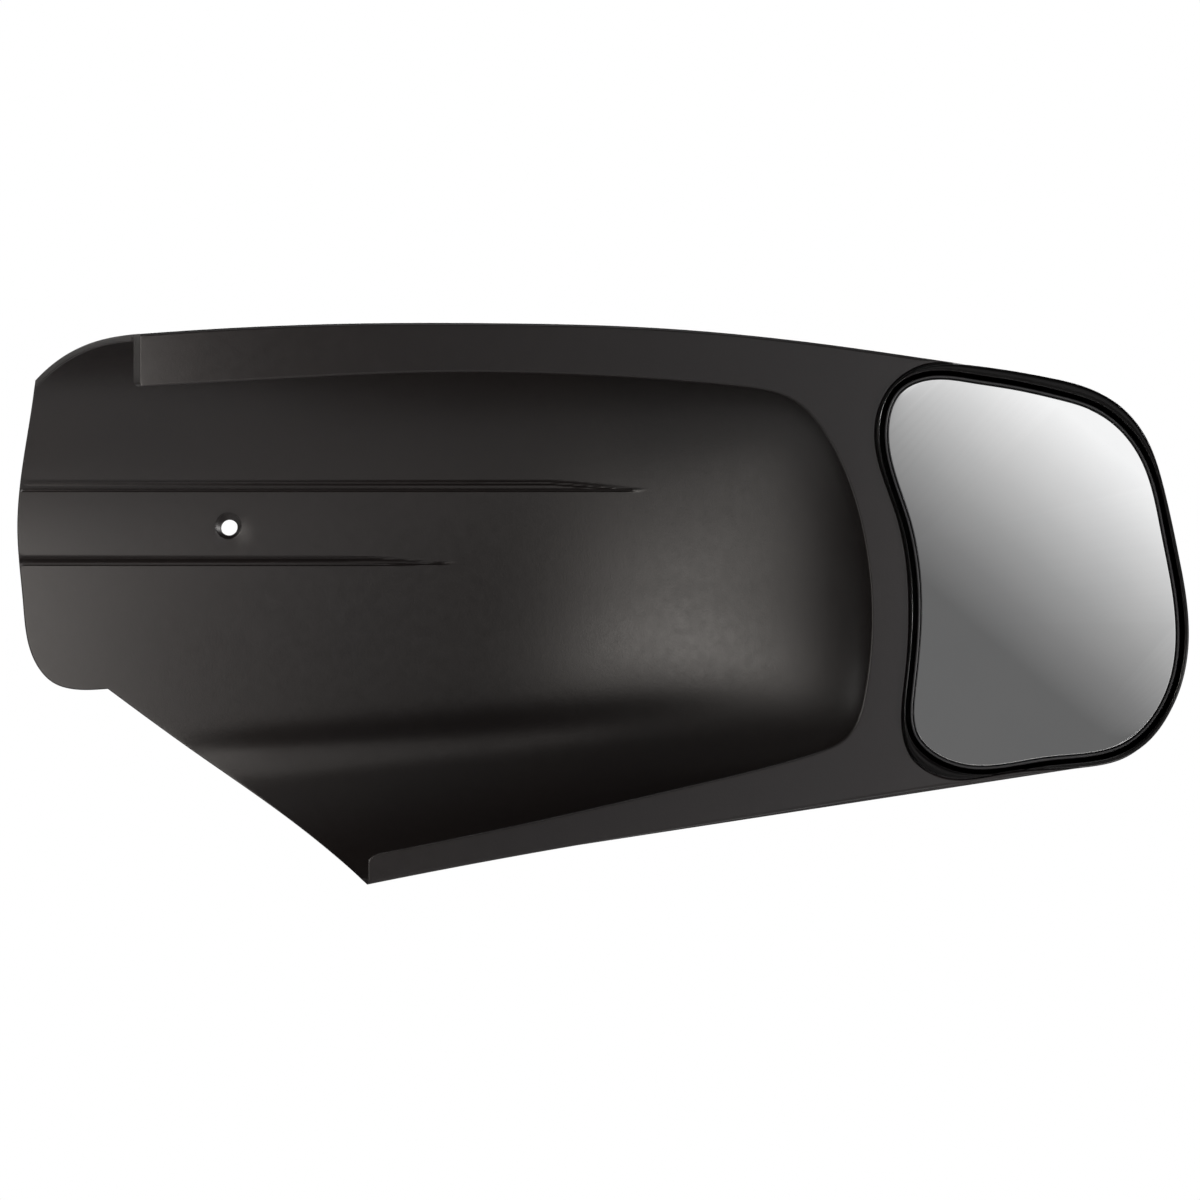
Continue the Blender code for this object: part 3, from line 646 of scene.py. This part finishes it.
def add_hole(builder, inner, outer):
    """A countersunk hole, slightly aslant."""
    def on_wall(wall, ring, forward):
        return np.stack([ring[:, 0], wall.front(ring[:, 0], ring[:, 1]) + forward, ring[:, 1]], axis=1)

    middle = ((HOLE[0] + HOLE_EXIT[0]) / 2, (HOLE[1] + HOLE_EXIT[1]) / 2)
    steps = [(inner, HOLE, HOLE_MOUTH_RADIUS + extra, forward)
             for extra, forward in ((HOLE_MARGIN, 0.0), (0.22, 0.04), (0.06, 0.16), (0.0, 0.34), (-0.1, 0.5))]
    steps += [(inner, middle, HOLE_RADIUS + extra, forward) for extra, forward in ((0.25, 1.05), (0.0, 1.2))]
    steps += [(outer, HOLE_EXIT, HOLE_RADIUS + extra, forward)
              for extra, forward in ((0.0, -0.3), (0.12, -0.08), (EXIT_MARGIN, 0.0))]
    rows = [on_wall(wall, circle(centre, radius), forward) for wall, centre, radius, forward in steps]
    builder.strip(rows, closed=True)


def add_cut_edge(builder, inner_cut, outer_cut):
    """The wall's cut edge between its two surfaces, with both corners rounded."""
    across = outer_cut.corner - inner_cut.corner
    across /= np.linalg.norm(across, axis=1)[:, None]

    def rounding(cut, toward):
        run = cut.inset - cut.corner
        run /= np.maximum(np.linalg.norm(run, axis=1), 1e-9)[:, None]
        rows = [cut.inset]
        for turn in arc_steps(4)[1:]:
            reach = (1 - math.sin(turn)) * run + (1 - math.cos(turn)) * toward
            rows.append(cut.corner + cut.reach[:, None] * reach)
        return rows

    builder.strip(rounding(inner_cut, across) + rounding(outer_cut, -across)[::-1])


def crossing(outline, inner_point, outer_point):
    """Where the line from an inner to an outer point leaves the outline."""
    shares = np.linspace(0.0, 1.0, 2001)[:, None]
    places = inner_point + shares * (outer_point - inner_point)
    return places[int(np.argmin(inside(places, outline)))]


def insert_point(curve, point):
    """The curve with the point put into its nearest stretch, and the point's index."""
    starts, ends = curve[:-1], curve[1:]
    run = ends - starts
    share = np.clip(((point - starts) * run).sum(axis=1) / (run * run).sum(axis=1), 0, 1)
    gaps = np.linalg.norm(starts + share[:, None] * run - point, axis=1)
    index = int(np.argmin(gaps)) + 1
    return np.insert(curve, index, point, axis=0), index


def bezel_side(silhouette):
    """The stretch of the bezel's rebate inside the housing's outline, and the outline with its ends."""
    line = offset_curve(smooth_curve(BEZEL, closed=True), REBATE_CLEARANCE)
    line = np.roll(line, -int(np.argmin(line[:, 0])), axis=0)
    within = inside(line, silhouette)
    ahead = int(np.argmin(within))
    behind = int(np.argmin(within[::-1]))
    upper_end = crossing(silhouette, line[ahead - 1], line[ahead])
    lower_end = crossing(silhouette, line[-behind], line[-behind - 1])
    # The rebate's line from its upper end down its inboard side to its lower end
    side = np.vstack([upper_end, line[:ahead][::-1], line[-behind:][::-1], lower_end])
    silhouette, first = insert_point(silhouette, upper_end)
    silhouette, last = insert_point(silhouette, lower_end)
    return silhouette, first, last, side


def band_loops(silhouette, first, last, side):
    """The band's border at its rear face and at y = 0, clockwise from its upper end, and its radii."""
    upper = silhouette[:first]
    upper = upper[upper[:, 0] > BAND_TOP_END + 0.8]
    lower = silhouette[last + 1:]
    lower = lower[:int(np.argmin(lower[:, 0]))]
    lower = lower[lower[:, 0] > BAND_BOTTOM_END + 0.5]
    top_rear = np.interp(BAND_TOP_END, silhouette[:first, 0], silhouette[:first, 1])
    top_front = np.interp(BAND_TOP_END_INNER, silhouette[:first, 0], silhouette[:first, 1])
    tail = silhouette[last:][::-1]
    bottom_z = np.interp(BAND_BOTTOM_END, tail[:, 0], tail[:, 1])
    opening = smooth_curve(OPENING_EDGE)[::-1]
    lip_z = OPENING_EDGE[-1][1]
    lower_end = [(BAND_BOTTOM_END, z) for z in np.linspace(bottom_z, lip_z - 3.6, 6)]
    lower_end += [(BAND_BOTTOM_END + 0.3, lip_z - 2.2), (BAND_BOTTOM_END + 1.4, lip_z - 1.1)]
    upper_corner = [(-110.1, 79.75), (-110.36, 80.3)]
    upper_corner_front = [(-110.9, 79.6), (-112.3, 80.4)]
    heights = np.linspace(81.2, top_rear - 1.2, 9)
    upper_end = [(BAND_TOP_END, z) for z in heights]
    upper_end_front = [(BAND_TOP_END_INNER, z) for z in heights]

    shared = np.vstack([upper, side, lower])
    rear = np.vstack([[(BAND_TOP_END, top_rear)], shared, lower_end, opening, upper_corner, upper_end])
    front = np.vstack([[(BAND_TOP_END_INNER, top_front)], shared, lower_end, opening, upper_corner_front,
                       upper_end_front])
    to_side = distance_to(upper, side, closed=False)
    to_side_low = distance_to(lower, side, closed=False)
    to_outline = distance_to(side, silhouette, closed=False)
    radii = np.concatenate([
        [SILHOUETTE_EDGE_RADIUS * 0.8],
        np.minimum(SILHOUETTE_EDGE_RADIUS, 0.45 * to_side),
        np.minimum(REBATE_EDGE_RADIUS, 0.45 * to_outline),
        np.minimum(SILHOUETTE_EDGE_RADIUS, 0.45 * to_side_low),
        np.full(len(lower_end), END_EDGE_RADIUS),
        np.full(len(opening), OPENING_EDGE_RADIUS),
        np.full(len(upper_corner) + len(upper_end), END_EDGE_RADIUS),
    ])
    for _ in range(6):
        blended = (np.roll(radii, 1) + 2 * radii + np.roll(radii, -1)) / 4
        radii = np.minimum(radii, blended)
    return rear, front, radii


def add_band(builder, rear, front, radii):
    """The flat rear band: its rear face, its rounded edges and its walls forward to y = 0."""
    inward = -sideways(rear, closed=True)
    rows = []
    for turn in arc_steps(5):
        moved = rear + (radii * (1 - math.sin(turn)))[:, None] * inward
        depth = -BAND + radii * (1 - math.cos(turn))
        rows.append(np.stack([moved[:, 0], depth, moved[:, 1]], axis=1))
    rows.append(on_y(front, 0.0))
    builder.strip(rows, closed=True)
    face = rows[0][:, [0, 2]]
    verts, faces = triangulate([face])
    builder.surface(on_y(verts, -BAND), faces)


def add_band_back(builder, front, cavity, side_count, inner_cut, outer_cut, silhouette, last):
    """The band's forward face, between the opening and the start of the sleeve's walls."""
    tip = int(np.argmax(cavity[:, 0]))
    upper = cavity[:tip + 1]
    lower = cavity[tip + 1:]
    top = np.interp(BAND_TOP_END_INNER, upper[:, 0], upper[:, 1])
    bottom = np.interp(BAND_BOTTOM_END, lower[::-1][:, 0], lower[::-1][:, 1])
    upper = upper[upper[:, 0] > BAND_TOP_END_INNER + 0.3]
    lower = lower[lower[:, 0] > BAND_BOTTOM_END + 0.3]
    opening = front[side_count:]
    opening = opening[(opening[:, 1] > bottom + 0.3) & (opening[:, 1] < top - 0.3)]
    loop = np.vstack([[(BAND_TOP_END_INNER, top)], upper, lower, [(BAND_BOTTOM_END, bottom)], opening])
    verts, faces = triangulate([loop])
    builder.surface(on_y(verts, 0.0), faces, flip=True)
    tail = silhouette[last:][::-1]
    outline_z = np.interp(BAND_BOTTOM_END, tail[:, 0], tail[:, 1])
    corner = [inner_cut.corner[-1], (BAND_BOTTOM_END, 0.0, bottom), (BAND_BOTTOM_END, 0.0, outline_z),
              outer_cut.corner[-1]]
    builder.surface(corner, [(0, 1, 2), (0, 2, 3)])


def add_head(builder, silhouette, first, last, side):
    """The bezel's rebate floor, the mouth behind the glass, and the hollow that the glass turns in."""
    border = np.vstack([silhouette[first:last], side[::-1][:-1]])
    mouth = offset_curve(smooth_curve(GLASS, closed=True), GLASS_TO_BEZEL + MOUTH_CLEARANCE)
    verts, faces = triangulate([border, mouth])
    builder.surface(on_y(verts, 0.0), faces)

    pivot = np.array([PIVOT[0], PIVOT[2]])
    rays = mouth - pivot
    rays /= np.linalg.norm(rays, axis=1)[:, None]
    reach = np.arange(4.0, POCKET_REACH, 0.25)
    places = pivot + reach[None, :, None] * rays[:, None, :]
    xs, zs = places[..., 0], places[..., 1]
    inner_outline = offset_curve(smooth_curve(SILHOUETTE), -RIM_WALL, closed=False)
    pocket = Wall(inner_outline, pocket_depth)
    roof = pocket.front(xs.ravel(), zs.ravel()).reshape(xs.shape)
    behind = Wall(offset_curve(smooth_curve(CAVITY), WALL, closed=False), cavity_depth)
    end_wall = behind.front(xs.ravel() - WALL, zs.ravel()).reshape(xs.shape) + WALL
    partition = np.where(xs < SLEEVE_END + WALL, end_wall, 0.0)
    rows = [on_y(mouth, 0.0), on_y(mouth, SEAT)]
    for y in POCKET_LEVELS:
        blocked = (roof < y + 0.3) | (partition > y) | (xs < POCKET_START)
        radius = reach[np.argmax(blocked, axis=1)]
        for _ in range(3):
            radius = (np.roll(radius, 1) + 2 * radius + np.roll(radius, -1)) / 4
        rows.append(on_y(pivot + radius[:, None] * rays, y))
    builder.strip(rows, closed=True)
    crown = rows[-1]
    centre = crown.mean(axis=0) + np.array([0.0, 0.6, 0.0])
    count = len(crown)
    triangles = [(i, (i + 1) % count, count) for i in range(count)]
    builder.surface(np.vstack([crown, centre]), triangles)
    for turn in BASE_SCREW_TURNS:
        spot = around_pivot(BASE_SCREW_CIRCLE, turn)
        rows = [on_y(circle(spot, radius, 28), BASE_FRONT + GAP + height) for radius, height in BOSS]
        builder.strip(rows, closed=True)


def make_housing(finish):
    silhouette, first, last, side = bezel_side(smooth_curve(SILHOUETTE))
    cavity = smooth_curve(CAVITY)
    outer = Wall(silhouette, outer_depth)
    inner = Wall(cavity, cavity_depth, inner_relief)
    outer_cut = Cut(outer)
    inner_cut = Cut(inner)
    builder = Builder()
    mouth = circle(HOLE, HOLE_MOUTH_RADIUS + HOLE_MARGIN)
    wall_surface(builder, inner, inner_cut, mouth, FINE_LINES, flip=False)
    wall_surface(builder, outer, outer_cut, circle(HOLE_EXIT, HOLE_RADIUS + EXIT_MARGIN), [], flip=True)
    add_hole(builder, inner, outer)
    add_cut_edge(builder, inner_cut, outer_cut)
    rear, front, radii = band_loops(silhouette, first, last, side)
    add_band(builder, rear, front, radii)
    upper_count = int((silhouette[:first, 0] > BAND_TOP_END + 0.8).sum()) + 1
    add_band_back(builder, front, cavity, upper_count + len(side), inner_cut, outer_cut, silhouette, last)
    add_head(builder, silhouette, first, last, side)
    return builder.mesh("housing_shell", finish)


# ---------------------------------------------------------------- bezel, glass and carrier

def make_bezel(finish):
    """The ring around the glass. Its inner edge follows the glass, its outer edge the rebate."""
    outer = smooth_curve(BEZEL, closed=True, spacing=FINE_LINE)
    centre = np.array([PIVOT[0], PIVOT[2]])
    edge = offset_curve(smooth_curve(GLASS, closed=True, spacing=0.8), GLASS_TO_BEZEL)
    turns = np.arctan2(edge[:, 1] - centre[1], edge[:, 0] - centre[0])
    order = np.argsort(turns)
    reach = np.linalg.norm(edge - centre, axis=1)
    outer_turns = np.arctan2(outer[:, 1] - centre[1], outer[:, 0] - centre[0])
    radius = np.interp(outer_turns, turns[order], reach[order], period=2 * math.pi)
    inner = centre + radius[:, None] * np.stack([np.cos(outer_turns), np.sin(outer_turns)], axis=1)
    rows = [on_y(outer + share * (inner - outer), y) for share, y in BEZEL_SECTION]
    builder = Builder()
    builder.strip(rows + [rows[0]], closed=True)
    return builder.mesh("bezel_ring", finish)


def make_glass(finish):
    edge = smooth_curve(GLASS, closed=True, spacing=FINE_LINE)
    builder = Builder()
    rows = [on_y(offset_curve(edge, -inset), y) for inset, y in GLASS_EDGE]
    builder.strip(rows, closed=True)
    for row, y, flip in ((rows[0], 0.0, False), (rows[-1], GLASS_THICK, True)):
        verts, faces = triangulate([row[:, [0, 2]]])
        builder.surface(on_y(verts, y), faces, flip)
    return builder.mesh("mirror_glass_plate", finish, smooth_angle=20.0)


def make_carrier(finish):
    """The pan behind the glass, whose rounded lip stands around the glass's edge."""
    edge = smooth_curve(GLASS, closed=True, spacing=FINE_LINE)
    floor = GLASS_THICK + GAP + PAD_THICK + GAP
    back = floor + CARRIER_THICK
    section = [(GAP, floor), (GAP, 0.2), (0.38, -0.02), (0.55, -0.16), (0.8, -0.2), (1.05, -0.14),
               (1.22, 0.05), (1.3, 0.35), (1.3, back - 0.5), (1.15, back - 0.12), (0.8, back)]
    builder = Builder()
    rows = [on_y(offset_curve(edge, out), y) for out, y in section]
    builder.strip(rows, closed=True)
    holes = [circle((PIVOT[0], PIVOT[2]), CARRIER_BORE, 48)]
    holes += [circle(around_pivot(DOME_SCREW_CIRCLE, turn), SCREW_HOLE, 20) for turn in DOME_SCREW_TURNS]
    for row, y, flip in ((rows[0], floor, False), (rows[-1], back, True)):
        verts, faces = triangulate([row[:, [0, 2]], *holes])
        builder.surface(on_y(verts, y), faces, flip)
    for hole in holes:
        builder.strip([on_y(hole, floor), on_y(hole, back)], closed=True)
    return builder.mesh("glass_carrier_pan", finish, smooth_angle=30.0)


# ---------------------------------------------------------------- materials

def new_material(name):
    made = bpy.data.materials.new(name)
    made.use_nodes = True
    return made, made.node_tree, made.node_tree.nodes["Principled BSDF"]


def node(tree, kind, **settings):
    made = tree.nodes.new(kind)
    for key, value in settings.items():
        if key in made.inputs:
            made.inputs[key].default_value = value
        else:
            setattr(made, key, value)
    return made


def noise(tree, scale, detail=2.0, roughness=0.5, stretch=None):
    """Noise over the object's own coordinates; scale is in turns per metre."""
    place = node(tree, "ShaderNodeTexCoord")
    source = place.outputs["Object"]
    if stretch is not None:
        mapping = node(tree, "ShaderNodeMapping")
        mapping.inputs["Scale"].default_value = stretch
        tree.links.new(source, mapping.inputs["Vector"])
        source = mapping.outputs["Vector"]
    made = node(tree, "ShaderNodeTexNoise", Scale=scale, Detail=detail, Roughness=roughness)
    tree.links.new(source, made.inputs["Vector"])
    return made.outputs["Fac"]


def ramp(tree, source, stops):
    made = node(tree, "ShaderNodeValToRGB")
    elements = made.color_ramp.elements
    while len(elements) > 1:
        elements.remove(elements[-1])
    elements[0].position = stops[0][0]
    elements[0].color = (*stops[0][1], 1.0)
    for position, colour in stops[1:]:
        elements.new(position).color = (*colour, 1.0)
    tree.links.new(source, made.inputs["Fac"])
    return made.outputs["Color"]


def spread(tree, source, low, high, in_low=0.3, in_high=0.7):
    made = node(tree, "ShaderNodeMapRange")
    made.inputs["From Min"].default_value = in_low
    made.inputs["From Max"].default_value = in_high
    made.inputs["To Min"].default_value = low
    made.inputs["To Max"].default_value = high
    tree.links.new(source, made.inputs["Value"])
    return made.outputs["Result"]


def bump(tree, shader, heights):
    """Bumps on top of each other: (height, strength, distance in metres)."""
    normal = None
    for height, strength, distance in heights:
        made = node(tree, "ShaderNodeBump", Strength=strength, Distance=distance)
        tree.links.new(height, made.inputs["Height"])
        if normal is not None:
            tree.links.new(normal, made.inputs["Normal"])
        normal = made.outputs["Normal"]
    tree.links.new(normal, shader.inputs["Normal"])


def moulded_plastic(name, dark, light, rough, grain=0.12, grain_size=1500.0, specular=0.5):
    """Textured black moulding: slow colour drift, satin patches and a fine spark-eroded grain."""
    made, tree, shader = new_material(name)
    drift = noise(tree, 9.0, 3.0, 0.6)
    tree.links.new(ramp(tree, drift, [(0.3, dark), (0.7, light)]), shader.inputs["Base Color"])
    patches = noise(tree, 260.0, 4.0, 0.65)
    tree.links.new(spread(tree, patches, rough - 0.02, rough + 0.02), shader.inputs["Roughness"])
    shader.inputs["Specular IOR Level"].default_value = specular
    fine = noise(tree, grain_size, 2.0, 0.6)
    coarse = noise(tree, grain_size / 4.0, 2.0, 0.5)
    bump(tree, shader, [(coarse, grain * 0.6, 0.00012), (fine, grain, 0.00008)])
    return made


def gloss_black(name):
    made, tree, shader = new_material(name)
    drift = noise(tree, 40.0, 2.0)
    tree.links.new(ramp(tree, drift, [(0.3, (0.0012, 0.001, 0.001)), (0.7, (0.0026, 0.0022, 0.0022))]),
                   shader.inputs["Base Color"])
    smears = noise(tree, 180.0, 4.0, 0.7)
    tree.links.new(spread(tree, smears, 0.28, 0.36), shader.inputs["Roughness"])
    shader.inputs["Specular IOR Level"].default_value = 0.18
    orange_peel = noise(tree, 700.0, 1.0)
    bump(tree, shader, [(orange_peel, 0.015, 0.0001)])
    return made


def mirror_silver(name):
    made, tree, shader = new_material(name)
    haze = noise(tree, 22.0, 4.0, 0.65)
    tree.links.new(ramp(tree, haze, [(0.3, (0.93, 0.935, 0.94)), (0.7, (0.965, 0.965, 0.965))]),
                   shader.inputs["Base Color"])
    shader.inputs["Metallic"].default_value = 1.0
    tree.links.new(spread(tree, haze, 0.012, 0.03), shader.inputs["Roughness"])
    return made


def zinc_steel(name):
    made, tree, shader = new_material(name)
    cloud = noise(tree, 400.0, 4.0, 0.6)
    tree.links.new(ramp(tree, cloud, [(0.3, (0.50, 0.50, 0.52)), (0.7, (0.68, 0.67, 0.64))]),
                   shader.inputs["Base Color"])
    shader.inputs["Metallic"].default_value = 1.0
    tree.links.new(spread(tree, cloud, 0.28, 0.42), shader.inputs["Roughness"])
    scratches = noise(tree, 900.0, 2.0, 0.5, stretch=(1.0, 0.1, 1.0))
    bump(tree, shader, [(scratches, 0.12, 0.00005)])
    return made


def foam(name):
    made, tree, shader = new_material(name)
    cells = noise(tree, 1400.0, 3.0, 0.7)
    tree.links.new(ramp(tree, cells, [(0.3, (0.012, 0.012, 0.013)), (0.7, (0.035, 0.035, 0.036))]),
                   shader.inputs["Base Color"])
    tree.links.new(spread(tree, cells, 0.82, 0.98), shader.inputs["Roughness"])
    bump(tree, shader, [(cells, 0.5, 0.0003)])
    return made


def acetal(name):
    made, tree, shader = new_material(name)
    cloud = noise(tree, 120.0, 3.0, 0.5)
    tree.links.new(ramp(tree, cloud, [(0.3, (0.66, 0.65, 0.61)), (0.7, (0.76, 0.75, 0.71))]),
                   shader.inputs["Base Color"])
    tree.links.new(spread(tree, cloud, 0.36, 0.48), shader.inputs["Roughness"])
    bump(tree, shader, [(noise(tree, 2200.0, 2.0), 0.05, 0.00005)])
    return made


# ---------------------------------------------------------------- studio

def look_at(made, target):
    direction = Vector(target) - made.location
    made.rotation_euler = direction.to_track_quat("-Z", "Y").to_euler()


def area_light(name, place, target, size, power, colour=(1.0, 1.0, 1.0), height=None):
    lamp = bpy.data.lights.new(name, "AREA")
    lamp.energy = power
    lamp.color = colour
    lamp.size = size
    if height is not None:
        lamp.shape = "RECTANGLE"
        lamp.size_y = height
    made = bpy.data.objects.new(name, lamp)
    made.location = place
    bpy.context.scene.collection.objects.link(made)
    look_at(made, target)
    made.visible_camera = False
    return made


def make_world():
    """White behind the object, and a dim grey room for everything else."""
    world = bpy.data.worlds.new("studio")
    world.use_nodes = True
    bpy.context.scene.world = world
    tree = world.node_tree
    background = tree.nodes["Background"]
    background.inputs["Color"].default_value = (0.5, 0.49, 0.5, 1.0)
    background.inputs["Strength"].default_value = ROOM_LIGHT
    white = node(tree, "ShaderNodeBackground")
    white.inputs["Color"].default_value = (1.0, 1.0, 1.0, 1.0)
    white.inputs["Strength"].default_value = 1.0
    path = node(tree, "ShaderNodeLightPath")
    mix = node(tree, "ShaderNodeMixShader")
    tree.links.new(path.outputs["Is Camera Ray"], mix.inputs[0])
    tree.links.new(background.outputs[0], mix.inputs[1])
    tree.links.new(white.outputs[0], mix.inputs[2])
    tree.links.new(mix.outputs[0], tree.nodes["World Output"].inputs["Surface"])


def make_card(centre):
    """A studio card in front of the glass, graded from grey at its lower left to white at its upper right."""
    maker = bmesh.new()
    bmesh.ops.create_grid(maker, x_segments=2, y_segments=2, size=CARD_SIZE / 2)
    mesh = bpy.data.meshes.new("graded_card")
    maker.to_mesh(mesh)
    maker.free()
    card = bpy.data.objects.new("graded_card", mesh)
    bpy.context.scene.collection.objects.link(card)
    card.location = (centre.x, -CARD_DISTANCE, centre.z)
    card.rotation_euler = (math.pi / 2, 0.0, 0.0)
    made = bpy.data.materials.new("graded_card")
    made.use_nodes = True
    tree = made.node_tree
    tree.nodes.clear()
    output = node(tree, "ShaderNodeOutputMaterial")
    glow = node(tree, "ShaderNodeEmission")
    place = node(tree, "ShaderNodeTexCoord")
    turn = node(tree, "ShaderNodeVectorRotate")
    turn.rotation_type = "Z_AXIS"
    turn.inputs["Angle"].default_value = -math.radians(CARD_SLANT)
    split = node(tree, "ShaderNodeSeparateXYZ")
    tree.links.new(place.outputs["Object"], turn.inputs["Vector"])
    tree.links.new(turn.outputs["Vector"], split.inputs["Vector"])
    along = spread(tree, split.outputs["X"], 0.0, 1.0, CARD_DARK_AT, CARD_LIGHT_AT)
    stops = [(share, (grey, grey, grey)) for share, grey in CARD_GREYS]
    tree.links.new(ramp(tree, along, stops), glow.inputs["Color"])
    tree.links.new(glow.outputs[0], output.inputs["Surface"])
    mesh.materials.append(made)
    card.visible_camera = False
    card.visible_diffuse = False
    card.visible_shadow = False
    card.visible_transmission = False
    return card


def make_floor(height):
    maker = bmesh.new()
    bmesh.ops.create_grid(maker, x_segments=24, y_segments=24, size=FLOOR_REACH)
    mesh = bpy.data.meshes.new("floor")
    maker.to_mesh(mesh)
    maker.free()
    floor = bpy.data.objects.new("floor", mesh)
    floor.location = (0.06, 0.04, height)
    bpy.context.scene.collection.objects.link(floor)
    made, tree, shader = new_material("pale_floor")
    tree.links.new(ramp(tree, noise(tree, 6.0), [(0.3, (0.88, 0.88, 0.88)), (0.7, (0.92, 0.92, 0.92))]),
                   shader.inputs["Base Color"])
    shader.inputs["Roughness"].default_value = 0.9
    shader.inputs["Specular IOR Level"].default_value = 0.1
    mesh.materials.append(made)


def make_camera(centre):
    """A very long lens square to the band, as catalogue pictures of a mirror have."""
    data = bpy.data.cameras.new("camera")
    camera = bpy.data.objects.new("camera", data)
    bpy.context.scene.collection.objects.link(camera)
    data.sensor_width = 36.0
    data.lens = data.sensor_width * CAMERA_DISTANCE / FRAME_WIDTH
    data.clip_end = 100.0
    camera.location = (centre[0], -CAMERA_DISTANCE, centre[1])
    camera.rotation_euler = (math.pi / 2, 0.0, 0.0)
    bpy.context.scene.camera = camera


def make_lights():
    for light in LIGHTS:
        area_light(*light)


def main():
    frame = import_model()
    cad_box = [list(corner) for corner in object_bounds()]
    glass_low, glass_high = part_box("mirror_glass")
    lowest = cad_box[0][2]

    shell = moulded_plastic("shell_plastic", (0.0060, 0.0046, 0.0048), (0.0090, 0.0068, 0.0064), 0.38, 0.22)
    gloss = gloss_black("gloss_black")
    glass_finish = mirror_silver("mirror_silver")
    plastic = moulded_plastic("carrier_plastic", (0.012, 0.012, 0.013), (0.02, 0.02, 0.021), 0.42, 0.08)
    steel = zinc_steel("zinc_steel")
    finishes = {
        "shell": shell, "gloss_trim": gloss, "mirror_glass": glass_finish, "carrier_plastic": plastic,
        "foam": foam("closed_cell_foam"), "acetal": acetal("acetal"), "zinc_steel": steel,
    }
    for maker, finish, cad_node, body in (
        (make_housing, "shell", "housing", "housing"),
        (make_bezel, "gloss_trim", "head_bezel", "housing"),
        (make_glass, "mirror_glass", "mirror_glass", "mirror"),
        (make_carrier, "carrier_plastic", "glass_carrier", "mirror"),
    ):
        piece = maker(finishes[finish])
        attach(piece, body)
        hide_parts(cad_node)
    carried = {
        "foam": ["top_sleeve_pad", "bottom_sleeve_pad", "glass_pad"],
        "carrier_plastic": ["pivot_base", "pivot_dome"],
        "acetal": ["pivot_cup"],
        "zinc_steel": ["pivot_bolt", "pivot_spring", "spring_washer", "pivot_nut"]
        + [f"{kind}_screw_{i}" for kind in ("base", "dome") for i in range(1, 5)],
    }
    for finish, names in carried.items():
        for name in names:
            piece = frame["nodes"][name]
            piece.data.materials.clear()
            piece.data.materials.append(finishes[finish])

    make_world()
    make_card((glass_low + glass_high) / 2)
    make_floor(lowest - FLOOR_DROP)
    make_lights()
    make_camera(VIEW_CENTRE)
    bpy.context.scene.view_settings.view_transform = "Standard"


main()
